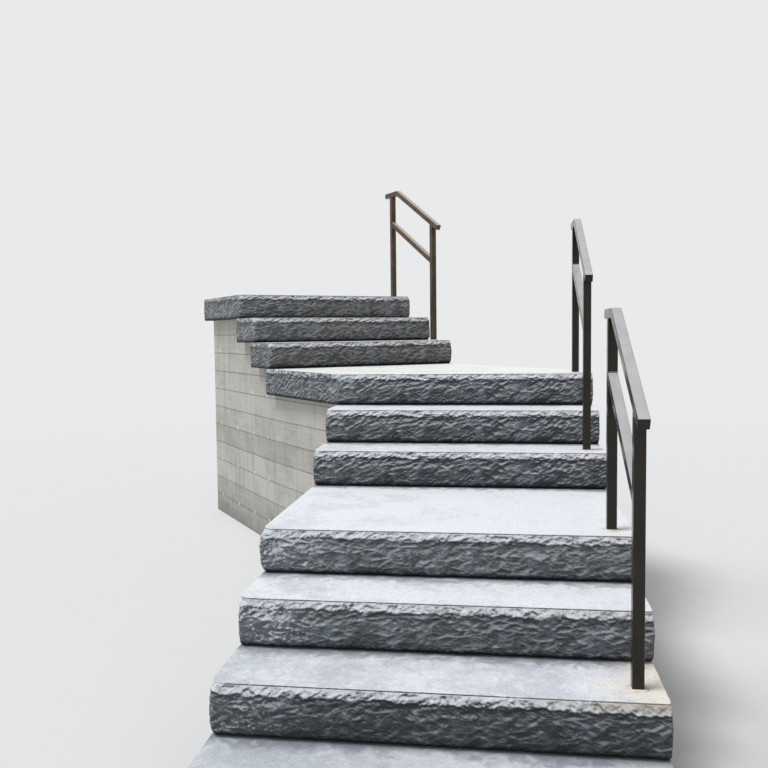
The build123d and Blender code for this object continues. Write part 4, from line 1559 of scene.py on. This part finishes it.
@dataclass
class Foundation:
    """The walls under the slabs: CAD solids given a board-formed finish and tie plugs."""

    plan: StairPlan
    tie_pitch: float = 0.450
    tie_rise: float = 0.300
    wall_inset: float = 0.060
    board: float = 148 * MM

    def dress(self, straight: bpy.types.Material, turned: bpy.types.Material) -> None:
        """Gives each wall its finish.

        Args:
            straight: Finish whose boards follow the straight run.
            turned: Finish whose boards follow the upper flight.
        """
        for name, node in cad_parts.items():
            if name.startswith("foundation"):
                swung = "upper" in name or name == "foundation_back"
                node.data.materials.clear()
                node.data.materials.append(turned if swung else straight)

    def build_fins(self, fins: BoardFins, concrete: bpy.types.Material) -> bpy.types.Object:
        """Runs a fin round each wall at the top edge of each board.

        Args:
            fins: The built fin tree.
            concrete: Finish of the fins.

        Returns:
            The finished piece, riding on the root body.
        """
        points, edges = [], []
        for name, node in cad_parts.items():
            if not name.startswith("foundation"):
                continue
            top = max(v.co.z for v in node.data.vertices)
            for course in range(1, math.ceil(top / self.board)):
                wall = bmesh.new()
                wall.from_mesh(node.data)
                bmesh.ops.remove_doubles(wall, verts=wall.verts, dist=0.01 * MM)
                cut = bmesh.ops.bisect_plane(
                    wall, geom=wall.verts[:] + wall.edges[:] + wall.faces[:],
                    plane_co=(0.0, 0.0, course * self.board), plane_no=(0.0, 0.0, 1.0))
                numbers = {}
                for edge in (part for part in cut["geom_cut"] if isinstance(part, bmesh.types.BMEdge)):
                    for vert in edge.verts:
                        if vert not in numbers:
                            numbers[vert] = len(points)
                            points.append(tuple(vert.co))
                    edges.append(tuple(numbers[vert] for vert in edge.verts))
                wall.free()
        mesh = bpy.data.meshes.new("foundation_board_fins")
        mesh.from_pydata(points, edges, [])
        piece = bpy.data.objects.new(mesh.name, mesh)
        bpy.context.scene.collection.objects.link(piece)
        grow(piece, fins.tree, {"Concrete": concrete})
        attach(piece, "root")
        return piece

    def tie_places(self) -> tuple[list[Vector], list[Vector]]:
        """Places of the shutter ties on the outer sides of the walls.

        Returns:
            The points, and the direction that each looks.
        """
        points, looks = [], []
        reach = self.plan.width / 2 - self.wall_inset
        for number in range(2, self.plan.step_count + 1):
            if number == self.plan.straight_steps:
                continue
            turned = number > self.plan.straight_steps
            start = self.plan.arris(number) + self.plan.tail_bearing
            end = self.plan.back(number)
            for side in (-1, 1):
                look = self.plan.place(turned, side, 0) - self.plan.place(turned, 0, 0)
                slots = max(1, round((end - start) / self.tie_pitch))
                for slot in range(slots):
                    along = start + (end - start) * (slot + 0.5) / slots
                    height = 0.5 * self.tie_rise
                    while height < (number - 1) * self.plan.riser - 0.06:
                        spot = self.plan.place(turned, side * reach, along)
                        points.append(Vector((spot.x, spot.y, height)))
                        looks.append(Vector((look.x, look.y, 0.0)))
                        height += self.tie_rise
        return points, looks

    def build_ties(self, ties: TiePlugs, mortar: bpy.types.Material) -> bpy.types.Object:
        """Sets a plug at each tie.

        Args:
            ties: The built plug tree.
            mortar: Finish of the plugs.

        Returns:
            The finished piece, riding on the root body.
        """
        points, looks = self.tie_places()
        piece = new_piece("foundation_tie_plugs", points, [])
        give_attribute(piece.data, "outward", looks, "FLOAT_VECTOR")
        grow(piece, ties.tree, {"Mortar": mortar})
        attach(piece, "root")
        return piece


# Handrails

@dataclass
class Handrail:
    """One handrail: coated tubes from the CAD, with their welds and grouted feet."""

    flight: Flight
    plan: StairPlan
    tube: float = 38 * MM
    height: float = 0.855
    mid_height: float = 0.612
    bend_lead: float = 0.102
    seat_radius: float = 37.7 * MM

    def name(self) -> str:
        """Start of the names of the rail's nodes."""
        return f"{self.flight.name.lower()}_rail"

    def turned(self) -> bool:
        """Whether the rail follows the upper flight."""
        return self.flight is Flight.UPPER

    def dress(self, coat: bpy.types.Material) -> None:
        """Gives the CAD tubes their coat.

        Args:
            coat: The powder coat.
        """
        for part in ("front_post", "rear_post", "top", "mid"):
            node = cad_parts[f"{self.name()}_{part}"]
            node.data.materials.clear()
            node.data.materials.append(coat)

    def weld_lines(self) -> list[tuple[Vector, Vector]]:
        """Ends of each fillet weld, across the tubes where two of them meet.

        Returns:
            Pairs of points in the frame's metres.
        """
        first = self.flight.value
        slope = math.atan2(self.plan.riser, self.plan.going)
        half = self.tube / 2
        front = self.plan.arris(first) + self.plan.post_arris
        rear = self.plan.arris(first + 2) + self.plan.post_arris
        level = self.plan.tread(first + 2) + self.height - self.tube
        bend = rear - self.bend_lead + half * math.tan(slope / 2)
        under = level + half - half / math.cos(slope)
        mid_axis = self.plan.tread(first + 2) + self.mid_height - half / math.cos(slope)
        mid_half = half / math.cos(slope)
        tuck = 1.0 * MM
        spots = []
        for face in (-1, 1):
            along = front + face * half
            spots.append((along + face * tuck, under - (bend - along) * math.tan(slope) - tuck))
            spots.append((rear + face * (half + tuck), level - tuck))
        for along, face in ((front + half, 1), (rear - half, -1)):
            axis = mid_axis - (rear - half - along) * math.tan(slope)
            spots.append((along + face * tuck, axis + mid_half + tuck))
            spots.append((along + face * tuck, axis - mid_half - tuck))
        across = self.plan.width / 2 - self.plan.post_end
        reach = half - 4 * MM
        lines = []
        for along, height in spots:
            ends = [self.plan.place(self.turned(), across + side * reach, along) for side in (-1, 1)]
            lines.append(tuple(Vector((end.x, end.y, height)) for end in ends))
        return lines

    def build_welds(self, bead: WeldBead, coat: bpy.types.Material) -> bpy.types.Object:
        """Lays the fillet welds, coated like the tubes.

        Args:
            bead: The built bead tree.
            coat: The powder coat.

        Returns:
            The finished piece, riding on the root body.
        """
        lines = self.weld_lines()
        mesh = bpy.data.meshes.new(self.name() + "_welds")
        points = [tuple(end) for line in lines for end in line]
        mesh.from_pydata(points, [(2 * i, 2 * i + 1) for i in range(len(lines))], [])
        piece = bpy.data.objects.new(self.name() + "_welds", mesh)
        bpy.context.scene.collection.objects.link(piece)
        grow(piece, bead.tree, {"Coat": coat})
        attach(piece, "root")
        return piece

    def build_seat(self, number: int, place: str, grout: bpy.types.Material) -> bpy.types.Object:
        """Builds the grout round a post's foot, smoothed into a low collar.

        Args:
            number: The step that the post stands on.
            place: Front or rear, as the node is named.
            grout: Finish of the collar.

        Returns:
            The finished piece, riding on the root body.
        """
        centre = self.plan.post_centre(number)
        top = self.plan.tread(number)
        turn = self.plan.turn_angle if self.turned() else 0.0
        count = 64
        profile = (
            (0.0, -120.0), (37.7, -120.0), (37.7, -1.0), (37.9, 0.3), (34.0, 0.9), (29.0, 1.8), (24.5, 4.2), (0.0, 4.4),
        )
        points, faces = [], []
        for reach, height in profile[1:-1]:
            for i in range(count):
                angle = 2 * math.pi * i / count
                wobble = 1.0 + (0.018 * math.sin(3 * angle + number) + 0.012 * math.sin(7 * angle)
                                if height > -0.5 else 0.0)
                if height > 4.0:
                    square = min(1.0 / max(abs(math.cos(angle)), abs(math.sin(angle))), 1.28)
                    reach_here = (self.tube / MM / 2 - 0.2) * square
                else:
                    reach_here = min(reach * wobble, 37.9)
                spot = Vector((reach_here * math.cos(angle), reach_here * math.sin(angle)))
                spot.rotate(Matrix.Rotation(turn, 2))
                points.append((centre.x + spot.x * MM, centre.y + spot.y * MM, top + height * MM))
        rows = len(profile) - 2
        for row in range(rows - 1):
            for i in range(count):
                j = (i + 1) % count
                faces.append((row * count + i, row * count + j, (row + 1) * count + j, (row + 1) * count + i))
        faces.append(tuple(reversed(range(count))))
        faces.append(tuple((rows - 1) * count + i for i in range(count)))
        piece = new_piece(f"{self.name()}_{place}_grout", points, faces)
        piece.data.polygons.foreach_set("use_smooth", [len(f) == 4 for f in faces])
        piece.data.materials.append(grout)
        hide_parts(f"{self.name()}_{place}_seat")
        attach(piece, "root")
        return piece


# Studio

@dataclass(frozen=True)
class Studio:
    """Pale floor, soft light and the photograph's camera."""

    backdrop: str = "#E9EAEB"
    sky_strength: float = 0.42
    sun_strength: float = 2.05
    sun_height: float = math.radians(64)
    sun_from: float = math.radians(70)
    sun_spread: float = math.radians(24)
    camera_place: tuple[float, float, float] = (0.213, -2.113, 1.484)
    camera_left: float = math.radians(7.9)
    camera_down: float = math.radians(3.51)
    camera_roll: float = math.radians(-0.65)
    focal_px: float = 834.7
    picture_px: float = 768.0
    sensor: float = 36.0

    def build_floor(self) -> bpy.types.Object:
        """Lays the floor, which melts into the backdrop far away.

        Returns:
            The floor.
        """
        half = 60.0
        floor = new_piece("studio_floor", [
            (-half, -half, 0.0), (half, -half, 0.0), (half, half, 0.0), (-half, half, 0.0)], [(0, 1, 2, 3)])
        material, tree, shader = new_material("pale_floor")
        shader.inputs["Base Color"].default_value = linear("#E4E5E6")
        shader.inputs["Roughness"].default_value = 0.9
        far = add_node(tree, "ShaderNodeMapRange", {
            "Value": add_node(tree, "ShaderNodeVectorMath", {
                0: add_node(tree, "ShaderNodeTexCoord").outputs["Object"]}, operation="LENGTH").outputs["Value"],
            "From Min": 7.0, "From Max": 16.0}, interpolation_type="SMOOTHSTEP")
        seen = self._seen(tree)
        glow = add_node(tree, "ShaderNodeEmission", {"Color": linear(self.backdrop)})
        output = next(n for n in tree.nodes if n.bl_idname == "ShaderNodeOutputMaterial")
        blend = add_node(tree, "ShaderNodeMixShader", {
            0: add_node(tree, "ShaderNodeMath", {0: far, 1: seen}, operation="MULTIPLY"),
            1: shader, 2: glow})
        tree.links.new(blend.outputs[0], output.inputs["Surface"])
        floor.data.materials.append(material)
        return floor

    @staticmethod
    def _seen(tree: bpy.types.NodeTree) -> bpy.types.Node:
        """Adds a switch that is 1 for rays that should meet the backdrop.

        Args:
            tree: A material's or the world's tree.

        Returns:
            The node that gives the switch.
        """
        path = add_node(tree, "ShaderNodeLightPath")
        mirror = add_node(tree, "ShaderNodeMath", {
            0: path.outputs["Is Glossy Ray"], 1: path.outputs["Is Transmission Ray"]}, operation="MAXIMUM")
        return add_node(tree, "ShaderNodeMath", {0: path.outputs["Is Camera Ray"], 1: mirror}, operation="MAXIMUM")

    def build_light(self) -> None:
        """Makes the even sky and the one broad, soft lamp from the upper left."""
        world = bpy.data.worlds.new("studio_sky")
        bpy.context.scene.world = world
        world.use_nodes = True
        tree = world.node_tree
        tree.nodes.clear()
        sky = add_node(tree, "ShaderNodeBackground", {"Color": (1.0, 1.0, 1.0, 1.0), "Strength": self.sky_strength})
        shown = add_node(tree, "ShaderNodeBackground", {"Color": linear(self.backdrop), "Strength": 1.0})
        blend = add_node(tree, "ShaderNodeMixShader", {0: self._seen(tree), 1: sky, 2: shown})
        add_node(tree, "ShaderNodeOutputWorld", {"Surface": blend})
        lamp = bpy.data.lights.new("soft_key", "SUN")
        lamp.energy = self.sun_strength
        lamp.angle = self.sun_spread
        key = bpy.data.objects.new("soft_key", lamp)
        key.rotation_euler = (math.radians(90) - self.sun_height, 0.0, -self.sun_from)
        bpy.context.scene.collection.objects.link(key)

    def build_camera(self) -> None:
        """Stands the camera where the photograph was taken from."""
        camera = bpy.data.cameras.new("photo_camera")
        camera.sensor_width = self.sensor
        camera.lens = self.focal_px * self.sensor / self.picture_px
        camera.clip_end = 200.0
        holder = bpy.data.objects.new("photo_camera", camera)
        turn = Matrix.Rotation(self.camera_left, 4, "Z")
        tilt = Matrix.Rotation(math.radians(90) - self.camera_down, 4, "X")
        roll = Matrix.Rotation(self.camera_roll, 4, "Z")
        holder.matrix_world = Matrix.Translation(self.camera_place) @ turn @ tilt @ roll
        bpy.context.scene.collection.objects.link(holder)
        bpy.context.scene.camera = holder

    def set_view(self) -> None:
        """Sets a plain display of colours."""
        bpy.context.scene.view_settings.view_transform = "Standard"


def report(piece: bpy.types.Object) -> None:
    """Logs a finished piece and how many triangles it has."""
    piece.data.calc_loop_triangles()
    log.info("%s: %d triangles", piece.name, len(piece.data.loop_triangles))


def main() -> None:
    """Builds the stair piece by piece, then the studio round it."""
    logging.basicConfig(level=logging.INFO, format="%(name)s: %(message)s")
    plan = StairPlan()
    rock, tread = RockFaceFinish().material(), TreadFinish().material()
    coat, grout = BronzeCoatFinish().material(), GroutFinish().material()
    # Its pale top colour is a painted sky reflection with some dust.
    faded_coat = BronzeCoatFinish(
        "sun_faded_bronze_coat", bronze="#3B3022", dusty="#5E4D37", dust_and_sky_sheen="#C2B49E").material()
    relief, bead, ties, fins = RockRelief(), WeldBead(), TiePlugs(), BoardFins()
    for pattern in (relief, bead, ties, fins):
        pattern.build()
    for number in range(1, plan.step_count + 1):
        report(RockFacedStep(number, plan).build(relief, rock, tread))
    foundation = Foundation(plan)
    formed = FormedConcreteFinish().material()
    foundation.dress(formed, FormedConcreteFinish(turn=plan.turn_angle).material())
    report(foundation.build_fins(fins, formed))
    report(foundation.build_ties(ties, grout))
    for flight in Flight:
        rail = Handrail(flight, plan)
        paint = faded_coat if rail.turned() else coat
        rail.dress(paint)
        report(rail.build_welds(bead, paint))
        report(rail.build_seat(flight.value, "front", grout))
        report(rail.build_seat(flight.value + 2, "rear", grout))
    studio = Studio()
    studio.build_floor()
    studio.build_light()
    studio.build_camera()
    studio.set_view()


if __name__ == "__main__":
    main()
